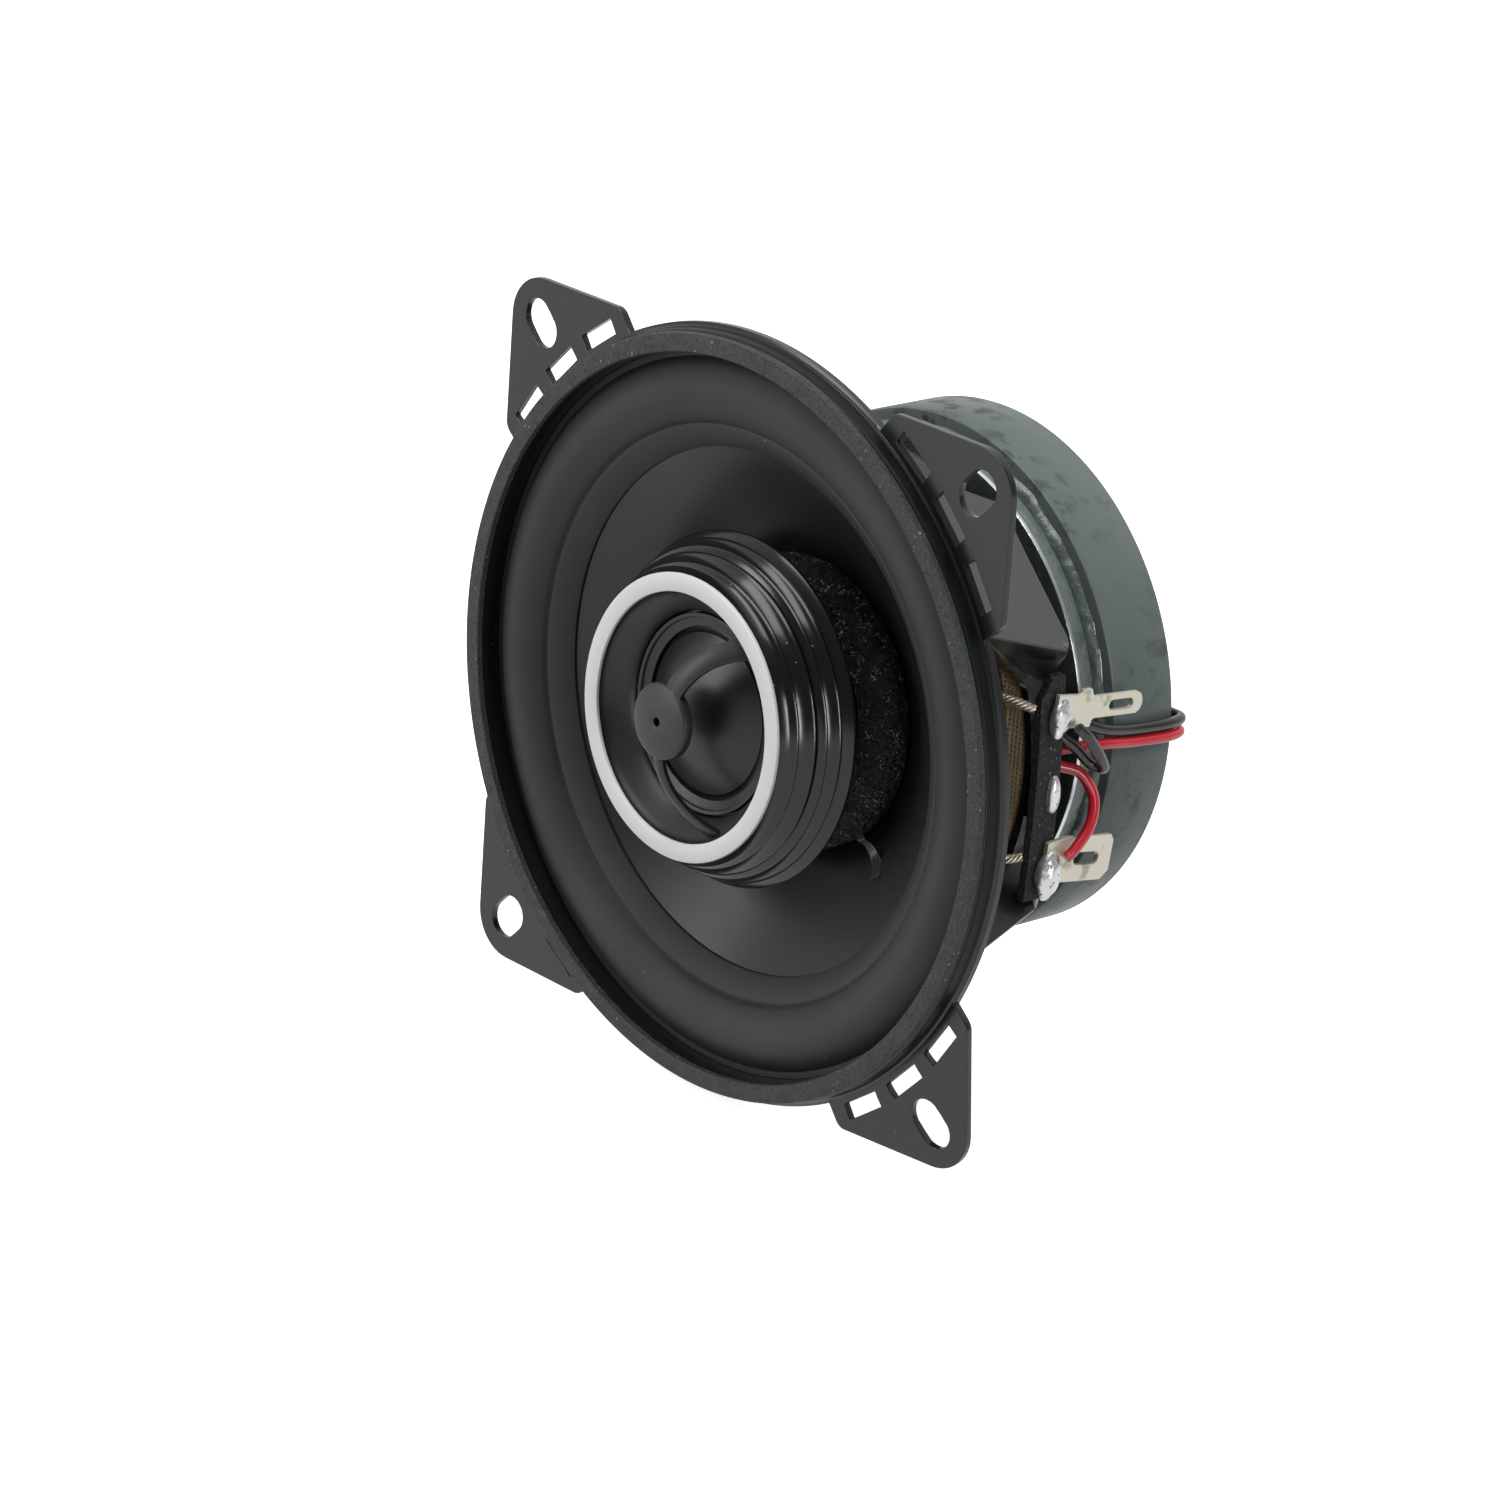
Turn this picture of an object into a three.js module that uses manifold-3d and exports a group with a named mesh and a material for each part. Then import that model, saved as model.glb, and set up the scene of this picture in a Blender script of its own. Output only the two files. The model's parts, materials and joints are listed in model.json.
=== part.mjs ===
// Coaxial car speaker, 100 mm class: pressed-steel basket with four mounting ears, ferrite motor,
// moving cone, and a dome tweeter held on a post through the voice coil.
// Millimetres. The woofer's axis is Y and the sound leaves toward -Y. Z is up.
// The origin is on the axis, in the plane of the ears' rear faces, which meet the baffle.
import * as THREE from 'three';
import * as BufferGeometryUtils from 'three/addons/utils/BufferGeometryUtils.js';
import Module from 'manifold-3d';

const wasm = await Module();
wasm.setup();

// ---- driving dimensions -------------------------------------------------------------------
const TURN = 2 * Math.PI;
const FIT = 0.3;                  // clearance between pieces that touch
const THIN_FIT = 0.06;            // clearance in a glued joint of thin pieces

const SHEET = 0.9;                // basket sheet
const EAR_T = 1.0;
const RIM_R = 51.3;
const RIM_IN = 48.4;
const RIM_FRONT = -3.25;
const GASKET_R = 51.0;
const GASKET_IN = 48.5;
const GASKET_T = 0.95;

const EAR_HALF = 48.6;            // the four ears lie in a square of this half side
const EAR_TIP_R = 6.0;
const EAR_ROOT = 26.6;            // distance along the side where an ear's root chamfer starts
const EAR_ROOT_CUT = 3.6;
const HOLE_PCD = 120.2;
const HOLE_W = 5.0;
const HOLE_L = 7.0;
const ROOT_SLOT_R = 53.6;         // three punched slots divide each ear from the rim
const ROOT_SLOT_W = 2.2;
const ROOT_SLOT_L = 6.6;
const ROOT_SLOT_STEP = 10.1;      // degrees between them
const BENT_EAR = 8.5;             // degrees the lower right ear is knocked back
const BEND_R = 53.0;

const WALL = [[47.3, 0.9], [46.9, 3.0], [36.5, 18.7], [32.0, 27.8], [30.6, 29.5]];
const WINDOW_FRONT = 3.6;
const WINDOW_REAR = 18.2;
const WINDOW_HALF_FRONT = 29;     // half angle of a basket window at the rim
const WINDOW_HALF_REAR = 19;
const LEDGE_Y = 18.9;
const LEDGE_IN = 32.8;
const BASE_Y = 29.2;
const BASE_BORE = 15.2;

const TOP_PLATE = { r: 33.2, bore: 14.1, front: 30.5, rear: 33.7 };
const MAGNET = { r: 36.0, bore: 17.5, front: 34.0, rear: 44.8 };
const BACK_PLATE = { r: 28.4, front: 45.1, rear: 48.9 };
const POLE_R = 12.1;
const POLE_FRONT = 30.2;
const VENT_R = 4.2;

const CONE_EDGE = [38.4, 0.35];   // front surface, radius and Y
const CONE_NECK = [13.2, 17.4];
const CONE_T = 0.6;
const FORMER = { inner: 12.5, outer: 12.85, front: 16.6, rear: 37.2 };
const COIL = { inner: 12.92, outer: 13.5, front: 28.9, rear: 35.3 };

const TWEETER_TILT = THREE.MathUtils.degToRad(2.7);   // the tweeter sits cocked upward
const TILT_PIVOT = 20.8;
const TWEETER_FRONT = -9.8;       // Y of the trim ring's front face, before the tilt

const BOARD = { inner: 37.2, outer: 38.5, front: 17.9, rear: 22.1, top: 13.4, bottom: -17.2 };
const RIVET = { y: 21.0, z: -2.6, shank: 0.9 };
const LEAD_R = 0.75;
const TINSEL_R = 0.6;

// ---- helpers ------------------------------------------------------------------------------
const group = new THREE.Group();
group.name = 'coaxial_speaker';

function finish(color, roughness, metalness) {
  return new THREE.MeshStandardMaterial({ color, roughness, metalness });
}

const paint = finish(0x1b1c1d, 0.45, 0.1);
const felt = finish(0x3c3d3e, 0.95, 0);
const rubber = finish(0x2b2c2d, 0.75, 0);
const blackCone = finish(0x161718, 0.5, 0);
const gloss = finish(0x0b0c0d, 0.12, 0);
const satin = finish(0x151617, 0.4, 0);
const white = finish(0xe9e9e7, 0.4, 0);
const zinc = finish(0x8d9a9c, 0.4, 0.85);
const ferrite = finish(0x55605f, 0.55, 0.1);
const copper = finish(0xb06a3c, 0.35, 0.9);
const cloth = finish(0xa2742f, 0.9, 0);
const tinned = finish(0xd3cdb8, 0.35, 0.7);
const solderMetal = finish(0xc2c4c6, 0.25, 0.9);
const neodymium = finish(0xb9bcc0, 0.25, 0.9);

function weld(geometry) {
  const bare = geometry.clone();
  bare.deleteAttribute('normal');
  bare.deleteAttribute('uv');
  return BufferGeometryUtils.mergeVertices(bare, 1e-4);
}

function solid(geometry) {
  const g = weld(geometry);
  return new wasm.Manifold(new wasm.Mesh({
    numProp: 3,
    vertProperties: new Float32Array(g.attributes.position.array),
    triVerts: new Uint32Array(g.index.array),
  }));
}

function fromSolid(manifold) {
  const mesh = manifold.getMesh();
  const g = new THREE.BufferGeometry();
  g.setAttribute('position', new THREE.BufferAttribute(new Float32Array(mesh.vertProperties), 3));
  g.setIndex(new THREE.BufferAttribute(new Uint32Array(mesh.triVerts), 1));
  return g;
}

function add(name, geometry, material) {
  const shape = geometry.index ? weld(geometry) : geometry;
  shape.computeVertexNormals();
  const mesh = new THREE.Mesh(shape, material);
  mesh.name = name;
  group.add(mesh);
  return mesh;
}

// A ring or disc turned about Y from [radius, y] points, wound so that its faces point out.
function turned(points, segments = 40) {
  let area = 0;
  points.forEach(([r, y], i) => {
    const [r2, y2] = points[(i + 1) % points.length];
    area += r * y2 - r2 * y;
  });
  const loop = area > 0 ? [...points] : [...points].reverse();
  const onAxis = loop.findIndex(([r], i) => r === 0 && loop[(i + loop.length - 1) % loop.length][0] === 0);
  const turnedLoop = onAxis >= 0 ? [...loop.slice(onAxis), ...loop.slice(0, onAxis)] : [...loop, loop[0]];
  return new THREE.LatheGeometry(turnedLoop.map(([r, y]) => new THREE.Vector2(r, y)), segments);
}

// A constant-thickness shell: the front line, then the same line pushed back along Y.
function shell(front, thickness) {
  const back = front.map(([r, y]) => [r, y + thickness]);
  return [...front, ...back.reverse()];
}

function box(x0, x1, y0, y1, z0, z1) {
  const g = new THREE.BoxGeometry(x1 - x0, y1 - y0, z1 - z0);
  return g.translate((x0 + x1) / 2, (y0 + y1) / 2, (z0 + z1) / 2);
}

// A flat outline drawn in X and Z, standing from y0 to y1.
function plate(shape, y0, y1, curveSegments = 6) {
  const g = new THREE.ExtrudeGeometry(shape, { depth: y1 - y0, bevelEnabled: false, curveSegments });
  return g.rotateX(Math.PI / 2).translate(0, y1, 0);
}

// A round lead through the given points.
function lead(points, radius, steps, halfSides = 4) {
  const ring = new THREE.Shape();
  ring.absarc(0, 0, radius, 0, TURN);
  const curve = new THREE.CatmullRomCurve3(points.map((p) => new THREE.Vector3(...p)), false, 'centripetal');
  return new THREE.ExtrudeGeometry(ring, {
    steps, curveSegments: halfSides, extrudePath: curve, bevelEnabled: false,
  });
}

function cockTweeter(geometry) {
  return geometry.translate(0, -TILT_PIVOT, 0).rotateX(-TWEETER_TILT).translate(0, TILT_PIVOT, 0);
}

// Tweeter profiles give the depth behind the trim ring's front face.
function tweeterTurned(profile, segments) {
  return cockTweeter(turned(profile.map(([r, t]) => [r, TWEETER_FRONT + t]), segments));
}

function slot(length, width, x, z, angle, y0 = -5, y1 = 5) {
  const s = new THREE.Shape();
  const run = (length - width) / 2;
  s.absarc(run, 0, width / 2, -Math.PI / 2, Math.PI / 2);
  s.absarc(-run, 0, width / 2, Math.PI / 2, Math.PI * 1.5);
  return plate(s, y0, y1, 8).rotateY(angle).translate(x, 0, z);
}

// ---- basket -------------------------------------------------------------------------------
// One ear in the +X +Z corner: a square corner with a round tip, chamfered where it meets the rim.
function ear() {
  const s = new THREE.Shape();
  const tip = EAR_HALF - EAR_TIP_R;
  s.moveTo(EAR_ROOT, EAR_HALF);
  s.lineTo(tip, EAR_HALF);
  s.absarc(tip, tip, EAR_TIP_R, Math.PI / 2, 0, true);
  s.lineTo(EAR_HALF, EAR_ROOT);
  s.lineTo(EAR_HALF - EAR_ROOT_CUT, EAR_ROOT - EAR_ROOT_CUT * 0.8);
  s.lineTo(34, 30);
  s.lineTo(30, 34);
  s.lineTo(EAR_ROOT - EAR_ROOT_CUT * 0.8, EAR_HALF - EAR_ROOT_CUT);
  let body = solid(plate(s, -EAR_T, 0, 6));
  body = body.subtract(solid(turned([[0, -6], [RIM_R - 0.8, -6], [RIM_R - 0.8, 6], [0, 6]])));
  const at = (HOLE_PCD / 2) * Math.SQRT1_2;
  body = body.subtract(solid(slot(HOLE_L, HOLE_W, at, at, -Math.PI / 4)));
  for (const k of [-1, 0, 1]) {
    const a = THREE.MathUtils.degToRad(45 + k * ROOT_SLOT_STEP);
    const cut = box(-ROOT_SLOT_W / 2, ROOT_SLOT_W / 2, -5, 5, -ROOT_SLOT_L / 2, ROOT_SLOT_L / 2);
    cut.rotateY(-a).translate(ROOT_SLOT_R * Math.cos(a), 0, ROOT_SLOT_R * Math.sin(a));
    body = body.subtract(solid(cut));
  }
  return body;
}

// The knocked-back ear turns about a line on its front face, along its root slots.
function bend(geometry) {
  const hinge = new THREE.Vector3(1, 0, -1).normalize().multiplyScalar(BEND_R).setY(-EAR_T);
  const axis = new THREE.Vector3(1, 0, 1).normalize();
  const turn = new THREE.Matrix4().makeRotationAxis(axis, THREE.MathUtils.degToRad(BENT_EAR));
  return geometry
    .translate(-hinge.x, -hinge.y, -hinge.z)
    .applyMatrix4(turn)
    .translate(hinge.x, hinge.y, hinge.z);
}

function earAt(turns) {
  return solid(fromSolid(ear()).rotateY(turns * Math.PI / 2));
}

// The bent ear: flat as far as its root slots, knocked back beyond them.
function bentEar() {
  const flat = earAt(1);
  const keepRoot = box(0, BEND_R, -6, 6, -60, 60).rotateY(Math.PI / 4);
  const keepTip = box(BEND_R, 80, -6, 6, -60, 60).rotateY(Math.PI / 4);
  const tip = solid(bend(fromSolid(flat.intersect(solid(keepTip)))));
  return flat.intersect(solid(keepRoot)).add(tip);
}

// A basket window: a wedge that narrows toward the ledge, cut through the conical wall.
function windowCutter(angle) {
  const near = 20;
  const far = 60;
  const half = [WINDOW_HALF_FRONT, WINDOW_HALF_REAR].map(THREE.MathUtils.degToRad);
  const points = [];
  for (const [y, h] of [[WINDOW_FRONT, half[0]], [WINDOW_REAR, half[1]]]) {
    for (const r of [near, far]) {
      points.push([r * Math.cos(h), y, r * Math.sin(h)], [r * Math.cos(h), y, -r * Math.sin(h)]);
    }
  }
  const quads = [[0, 1, 3, 2], [4, 6, 7, 5], [0, 4, 5, 1], [2, 3, 7, 6], [0, 2, 6, 4], [1, 5, 7, 3]];
  const g = new THREE.BufferGeometry();
  g.setAttribute('position', new THREE.Float32BufferAttribute(points.flat(), 3));
  g.setIndex(quads.flatMap(([a, b, c, d]) => [a, b, c, a, c, d]));
  let cutter = solid(g);
  if (cutter.volume() < 0) {
    g.setIndex(quads.flatMap(([a, b, c, d]) => [a, c, b, a, d, c]));
    cutter = solid(g);
  }
  return solid(fromSolid(cutter).rotateY(angle));
}

const rimRing = turned([
  [RIM_IN, RIM_FRONT], [RIM_R - 0.5, RIM_FRONT], [RIM_R, RIM_FRONT + 0.5], [RIM_R, -1.3],
  [RIM_R + 0.7, -0.9], [RIM_R + 0.7, 0], [47.4, 0], [47.3, 1.0], [45.8, 1.0], [45.8, 0.1], [RIM_IN, 0.1],
], 44);
const wallOuter = WALL.map(([r, y]) => [r, y]);
const wallInner = WALL.map(([r, y]) => [r - SHEET, y]).reverse();
wallInner[0] = [WALL.at(-1)[0] - 1.6, BASE_Y - 0.1];
const wallRing = turned([
  ...wallOuter, [WALL.at(-1)[0] - 0.8, BASE_Y + SHEET], [BASE_BORE, BASE_Y + SHEET],
  [BASE_BORE, BASE_Y], ...wallInner,
], 44);
const ledge = turned([
  [LEDGE_IN, LEDGE_Y], [36.2, LEDGE_Y], [35.9, LEDGE_Y + SHEET], [LEDGE_IN, LEDGE_Y + SHEET],
], 44);
// Each arm is pressed outward into a flat hollow rib. Outlines are [height over the axis, depth].
const RIB = [
  [30, 0.4], [45.7, 0.4], [45.5, 2.0], [39.8, 20.6], [39.3, 22.2], [38.3, 23.2], [36.9, 23.7], [30, 24.5],
];
const RIB_HOLLOW = [[30, 3.0], [44.3, 3.0], [38.9, 20.6], [38.4, 21.8], [36.8, 22.7], [30, 23.4]];
const RIB_RUN = [2.0, 20.6];        // between these depths a rib leans toward the horizontal
const RIB_NEAR = [12.6, 15.6];      // half width on the horizontal's side, front and rear
const RIB_NEAR_BOARD = [12.6, 13.5];  // the lower right rib keeps clear of the terminal board
const RIB_FAR = [12.0, 6.5];        // half width on the vertical's side, front and rear
const insideWall = turned([
  [0, 0.2], [46.4, 0.2], ...WALL.slice(0, 4).map(([r, y]) => [r - SHEET / 2, y]), [0, WALL[3][1]],
], 44);
function armPrism(outline, i, inset) {
  const shape = new THREE.Shape(outline.map(([h, y]) => new THREE.Vector2(h, y)));
  const prism = new THREE.ExtrudeGeometry(shape, { depth: 2, bevelEnabled: false });
  const near = i === 3 ? RIB_NEAR_BOARD : RIB_NEAR;
  const mirrored = i % 2 === 1;
  const corners = prism.attributes.position;
  for (let k = 0; k < corners.count; k += 1) {
    const t = THREE.MathUtils.clamp((corners.getY(k) - RIB_RUN[0]) / (RIB_RUN[1] - RIB_RUN[0]), 0, 1);
    const isNear = (corners.getZ(k) < 1) !== mirrored;
    const [front, rear] = isNear ? near : RIB_FAR;
    const reach = THREE.MathUtils.lerp(front, rear, t) - inset;
    corners.setZ(k, corners.getZ(k) < 1 ? -reach : reach);
  }
  return solid(prism.rotateY(-(i + 0.5) * Math.PI / 2));
}

let basket = solid(wallRing);
for (let i = 0; i < 4; i += 1) {
  basket = basket.subtract(windowCutter(i * Math.PI / 2));
}
for (let i = 0; i < 4; i += 1) {
  basket = basket.add(armPrism(RIB, i, 0).subtract(solid(insideWall)));
  basket = basket.subtract(armPrism(RIB_HOLLOW, i, SHEET));
}
basket = basket.add(solid(rimRing)).add(solid(ledge));
for (const i of [0, 2, 3]) {
  basket = basket.add(earAt(i));
}
basket = basket.add(bentEar());
basket = basket.add(solid(box(35.0, 36.9, LEDGE_Y, 22.2, -6.2, 1.0)));
const rivetBore = new THREE.CylinderGeometry(RIVET.shank + FIT / 2, RIVET.shank + FIT / 2, 12, 16)
  .rotateZ(Math.PI / 2).translate(36, RIVET.y, RIVET.z);
basket = basket.subtract(solid(rivetBore));
add('basket', fromSolid(basket), paint);

add('front_gasket', turned([
  [GASKET_IN, RIM_FRONT - GASKET_T], [GASKET_R - 0.2, RIM_FRONT - GASKET_T],
  [GASKET_R, RIM_FRONT - GASKET_T + 0.2], [GASKET_R, RIM_FRONT - THIN_FIT], [GASKET_IN, RIM_FRONT - THIN_FIT],
], 44), felt);

// ---- moving system ------------------------------------------------------------------------
const coneSlope = (CONE_NECK[1] - CONE_EDGE[1]) / (CONE_EDGE[0] - CONE_NECK[0]);
const coneY = (r) => CONE_EDGE[1] + (CONE_EDGE[0] - r) * coneSlope;

add('cone', turned(shell([CONE_EDGE, [35.2, coneY(35.2)], [24, coneY(24)], CONE_NECK], CONE_T)), blackCone);

// Surround: outer landing on the shelf, one shallow roll, then a lip on the cone's edge.
const surroundFront = [[48.2, -0.45], [47.5, -0.45]];
const ROLL = { outer: 47.5, inner: 38.9, height: 2.0, steps: 6 };
for (let i = 1; i < ROLL.steps; i += 1) {
  const u = i / ROLL.steps;
  const r = ROLL.outer + (ROLL.inner - ROLL.outer) * u;
  surroundFront.push([r, -0.45 - ROLL.height * Math.sin(Math.PI * u) ** 0.8]);
}
surroundFront.push([ROLL.inner, -0.55], [38.5, coneY(38.5) - 0.55], [35.3, coneY(35.3) - 0.55]);
add('surround', turned(shell(surroundFront, 0.45)), rubber);

// Spider: concentric corrugations between the former and the ledge.
const spiderFront = [[12.92, 18.0], [14.2, 18.0]];
const CORRUGATIONS = { inner: 14.2, outer: 32.3, count: 5, height: 1.2 };
for (let i = 1; i < CORRUGATIONS.count * 2; i += 1) {
  const r = CORRUGATIONS.inner + (CORRUGATIONS.outer - CORRUGATIONS.inner) * i / (CORRUGATIONS.count * 2);
  spiderFront.push([r, 18.2 + (i % 2 ? -0.5 : 0.5) * CORRUGATIONS.height]);
}
spiderFront.push([32.4, 18.4], [35.3, 18.4]);
add('spider', turned(shell(spiderFront, 0.4), 36), cloth);

add('voice_coil_former', turned([
  [FORMER.inner, FORMER.front], [FORMER.outer, FORMER.front], [FORMER.outer, FORMER.rear],
  [FORMER.inner, FORMER.rear],
]), finish(0xc9b48a, 0.6, 0));
add('voice_coil', turned([
  [COIL.inner, COIL.front], [COIL.outer, COIL.front], [COIL.outer, COIL.rear], [COIL.inner, COIL.rear],
]), copper);

// Foam dust ring bedded on the cone round the post.
add('foam_ring', turned([
  [14.0, 8.2], [15.0, 7.4], [18.8, 7.5], [20.3, 8.8], [20.7, coneY(20.7) - 0.1],
  [14.6, coneY(14.6) - 0.1], [13.9, 15.5],
], 40), finish(0x111213, 1, 0));

// ---- motor --------------------------------------------------------------------------------
add('top_plate', turned([
  [TOP_PLATE.bore, TOP_PLATE.front], [TOP_PLATE.r - 0.5, TOP_PLATE.front],
  [TOP_PLATE.r, TOP_PLATE.front + 0.5], [TOP_PLATE.r, TOP_PLATE.rear], [TOP_PLATE.bore, TOP_PLATE.rear],
]), zinc);
add('magnet', turned([
  [MAGNET.bore, MAGNET.front], [MAGNET.r - 0.5, MAGNET.front], [MAGNET.r, MAGNET.front + 0.5],
  [MAGNET.r, MAGNET.rear - 0.5], [MAGNET.r - 0.5, MAGNET.rear], [MAGNET.bore, MAGNET.rear],
]), ferrite);
add('glue_bead', turned([
  [TOP_PLATE.r + THIN_FIT, MAGNET.front - 1.0], [TOP_PLATE.r + 0.7, MAGNET.front - 0.7],
  [TOP_PLATE.r + 1.2, MAGNET.front - THIN_FIT], [TOP_PLATE.r + THIN_FIT, MAGNET.front - THIN_FIT],
]), finish(0x7f8f90, 0.35, 0));
add('pole_and_back_plate', turned([
  [VENT_R, POLE_FRONT], [POLE_R - 0.5, POLE_FRONT], [POLE_R, POLE_FRONT + 0.5],
  [POLE_R, BACK_PLATE.front], [BACK_PLATE.r - 0.4, BACK_PLATE.front],
  [BACK_PLATE.r, BACK_PLATE.front + 0.4], [BACK_PLATE.r, BACK_PLATE.rear - 0.6],
  [BACK_PLATE.r - 0.6, BACK_PLATE.rear], [VENT_R + 1.0, BACK_PLATE.rear], [VENT_R, BACK_PLATE.rear - 1.0],
], 40), zinc);

// ---- tweeter ------------------------------------------------------------------------------
add('tweeter_trim_ring', tweeterTurned([
  [16.54, 0.15], [16.7, 0], [18.9, 0], [19.05, 0.15], [19.05, 0.45], [16.54, 0.45],
], 40), white);
add('tweeter_housing', tweeterTurned([
  [19.1, 0.75], [19.7, 1.9], [20.2, 2.9], [19.9, 3.1], [20.9, 4.0], [21.25, 4.9], [20.95, 5.1],
  [21.7, 5.6], [22.05, 6.2], [21.7, 6.4], [22.5, 7.1], [22.8, 7.9], [22.4, 8.1], [23.4, 8.7],
  [23.6, 9.3], [23.0, 9.8], [13.6, 9.8], [13.4, 13.8], [5.5, 13.8], [5.5, 12.6], [12.6, 12.6],
  [12.6, 5.6], [13.6, 5.6], [13.6, 4.3], [14.2, 3.2], [15.2, 2.1], [16.3, 1.2], [16.5, 0.75],
], 40), gloss);
add('tweeter_clamp_ring', tweeterTurned([
  [11.5, 4.95], [12.75, 4.85], [12.85, 4.3], [13.3, 4.3], [13.3, 5.3], [11.5, 5.3],
], 36), satin);

const DOME = { r: 10.7, edge: 4.9, height: 2.9, steps: 5, t: 0.35 };
const domeFront = [];
for (let i = 0; i <= DOME.steps; i += 1) {
  const u = i / DOME.steps;
  domeFront.push([DOME.r * u, DOME.edge - DOME.height * (1 - u * u)]);
}
add('tweeter_dome', tweeterTurned(shell(domeFront, DOME.t), 36), satin);
add('tweeter_suspension', tweeterTurned(shell([
  [10.77, 5.0], [11.1, 5.35], [11.45, 5.5], [12.5, 5.4],
], 0.15), 36), satin);
add('tweeter_voice_coil', tweeterTurned([
  [10.25, 5.35], [10.65, 5.35], [10.65, 8.6], [10.25, 8.6],
], 36), copper);
add('tweeter_pole_plate', tweeterTurned([[0, 6.3], [9.75, 6.3], [9.75, 7.8], [0, 7.8]], 40), zinc);
add('tweeter_magnet', tweeterTurned([[0, 8.0], [9.3, 8.0], [9.3, 10.4], [0, 10.4]], 40), neodymium);
add('tweeter_yoke', tweeterTurned([
  [0, 10.6], [11.1, 10.6], [11.1, 6.0], [12.4, 6.0], [12.4, 12.2], [0, 12.2],
], 40), zinc);

// Bridge: a thick button in front of the dome, held by two sickle arms that drop to the funnel.
const BUTTON = { r: 5.1, front: -3.4, t: 1.3, crown: 0.5, hole: 0.55 };
const ARMS = [
  { angles: [64, 62, 57], widths: [3.2, 2.8, 3.0] },
  { angles: [-88, -76, -64], widths: [1.9, 1.8, 2.0] },
];
const ARM_RUN = [4.6, 10.4, 15.35];   // radii of the arm's root, middle and foot
const ARM_STEPS = 8;
const ARM_DROP = 4.9;                 // how far the foot lies behind the button's face

function armPoint(angles, u) {
  const [a0, a1, a2] = angles.map(THREE.MathUtils.degToRad);
  const angle = a0 * (1 - u) * (1 - 2 * u) + a1 * 4 * u * (1 - u) + a2 * u * (2 * u - 1);
  const r = ARM_RUN[0] + (ARM_RUN[2] - ARM_RUN[0]) * u;
  return { angle, r, t: BUTTON.front + ARM_DROP * u * u };
}

function armGeometry({ angles, widths }) {
  const rings = [];
  for (let i = 0; i <= ARM_STEPS; i += 1) {
    const u = i / ARM_STEPS;
    const { angle, r, t } = armPoint(angles, u);
    const next = armPoint(angles, Math.min(1, u + 0.02));
    const last = armPoint(angles, Math.max(0, u - 0.02));
    const run = new THREE.Vector2(
      next.r * Math.cos(next.angle) - last.r * Math.cos(last.angle),
      next.r * Math.sin(next.angle) - last.r * Math.sin(last.angle),
    ).normalize();
    const half = (widths[0] * (1 - u) * (1 - 2 * u) + widths[1] * 4 * u * (1 - u) + widths[2] * u * (2 * u - 1)) / 2;
    const c = new THREE.Vector2(r * Math.cos(angle), r * Math.sin(angle));
    const side = new THREE.Vector2(-run.y, run.x).multiplyScalar(half);
    const y = TWEETER_FRONT + t;
    rings.push(
      [c.x - side.x, y, c.y - side.y], [c.x + side.x, y, c.y + side.y],
      [c.x + side.x, y + BUTTON.t, c.y + side.y], [c.x - side.x, y + BUTTON.t, c.y - side.y],
    );
  }
  const index = [0, 2, 1, 0, 3, 2];
  const last = ARM_STEPS * 4;
  for (let i = 0; i < ARM_STEPS; i += 1) {
    for (let k = 0; k < 4; k += 1) {
      const a = i * 4 + k;
      const b = i * 4 + (k + 1) % 4;
      index.push(a, b, b + 4, a, b + 4, a + 4);
    }
  }
  index.push(last, last + 1, last + 2, last, last + 2, last + 3);
  const g = new THREE.BufferGeometry();
  g.setAttribute('position', new THREE.Float32BufferAttribute(rings.flat(), 3));
  g.setIndex(index);
  return g;
}

function facingOut(geometry) {
  if (solid(geometry).volume() > 0) return geometry;
  const flipped = geometry.clone();
  const old = geometry.index.array;
  const index = [];
  for (let i = 0; i < old.length; i += 3) index.push(old[i], old[i + 2], old[i + 1]);
  flipped.setIndex(index);
  return flipped;
}

let bridge = solid(turned([
  [BUTTON.hole, TWEETER_FRONT + BUTTON.front - BUTTON.crown],
  [BUTTON.r * 0.6, TWEETER_FRONT + BUTTON.front - BUTTON.crown * 0.6],
  [BUTTON.r, TWEETER_FRONT + BUTTON.front], [BUTTON.r, TWEETER_FRONT + BUTTON.front + BUTTON.t],
  [BUTTON.hole, TWEETER_FRONT + BUTTON.front + BUTTON.t],
], 40));
for (const arm of ARMS) {
  bridge = bridge.add(solid(facingOut(armGeometry(arm))));
}
// The arms' feet follow the funnel with a small gap.
const insideFunnel = solid(turned([
  [0, -20], [16.2, -20], [16.2, TWEETER_FRONT + 1.3], [15.0, TWEETER_FRONT + 2.0],
  [14.0, TWEETER_FRONT + 3.2], [0, TWEETER_FRONT + 3.2],
], 40));
bridge = bridge.intersect(insideFunnel);
add('tweeter_bridge', cockTweeter(fromSolid(bridge)), satin);

// Post: a hollow stem that leans with the tweeter, on a foot that sits square on the pole.
const stem = tweeterTurned([
  [3.0, 12.7], [5.2, 12.7], [5.2, 14.1], [7.6, 14.1], [7.6, 15.3], [5.2, 16.2], [5.2, 39.2], [3.0, 39.2],
], 24);
const foot = turned([[2.6, 28.6], [8.4, 28.6], [8.4, POLE_FRONT - FIT], [2.6, POLE_FRONT - FIT]], 24);
const bore = tweeterTurned([[0, 10], [3.0, 10], [3.0, 45], [0, 45]], 24);
add('tweeter_post', fromSolid(solid(stem).subtract(solid(box(-20, 20, POLE_FRONT - FIT, 60, -20, 20)))
  .add(solid(foot)).subtract(solid(bore))), satin);

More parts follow.
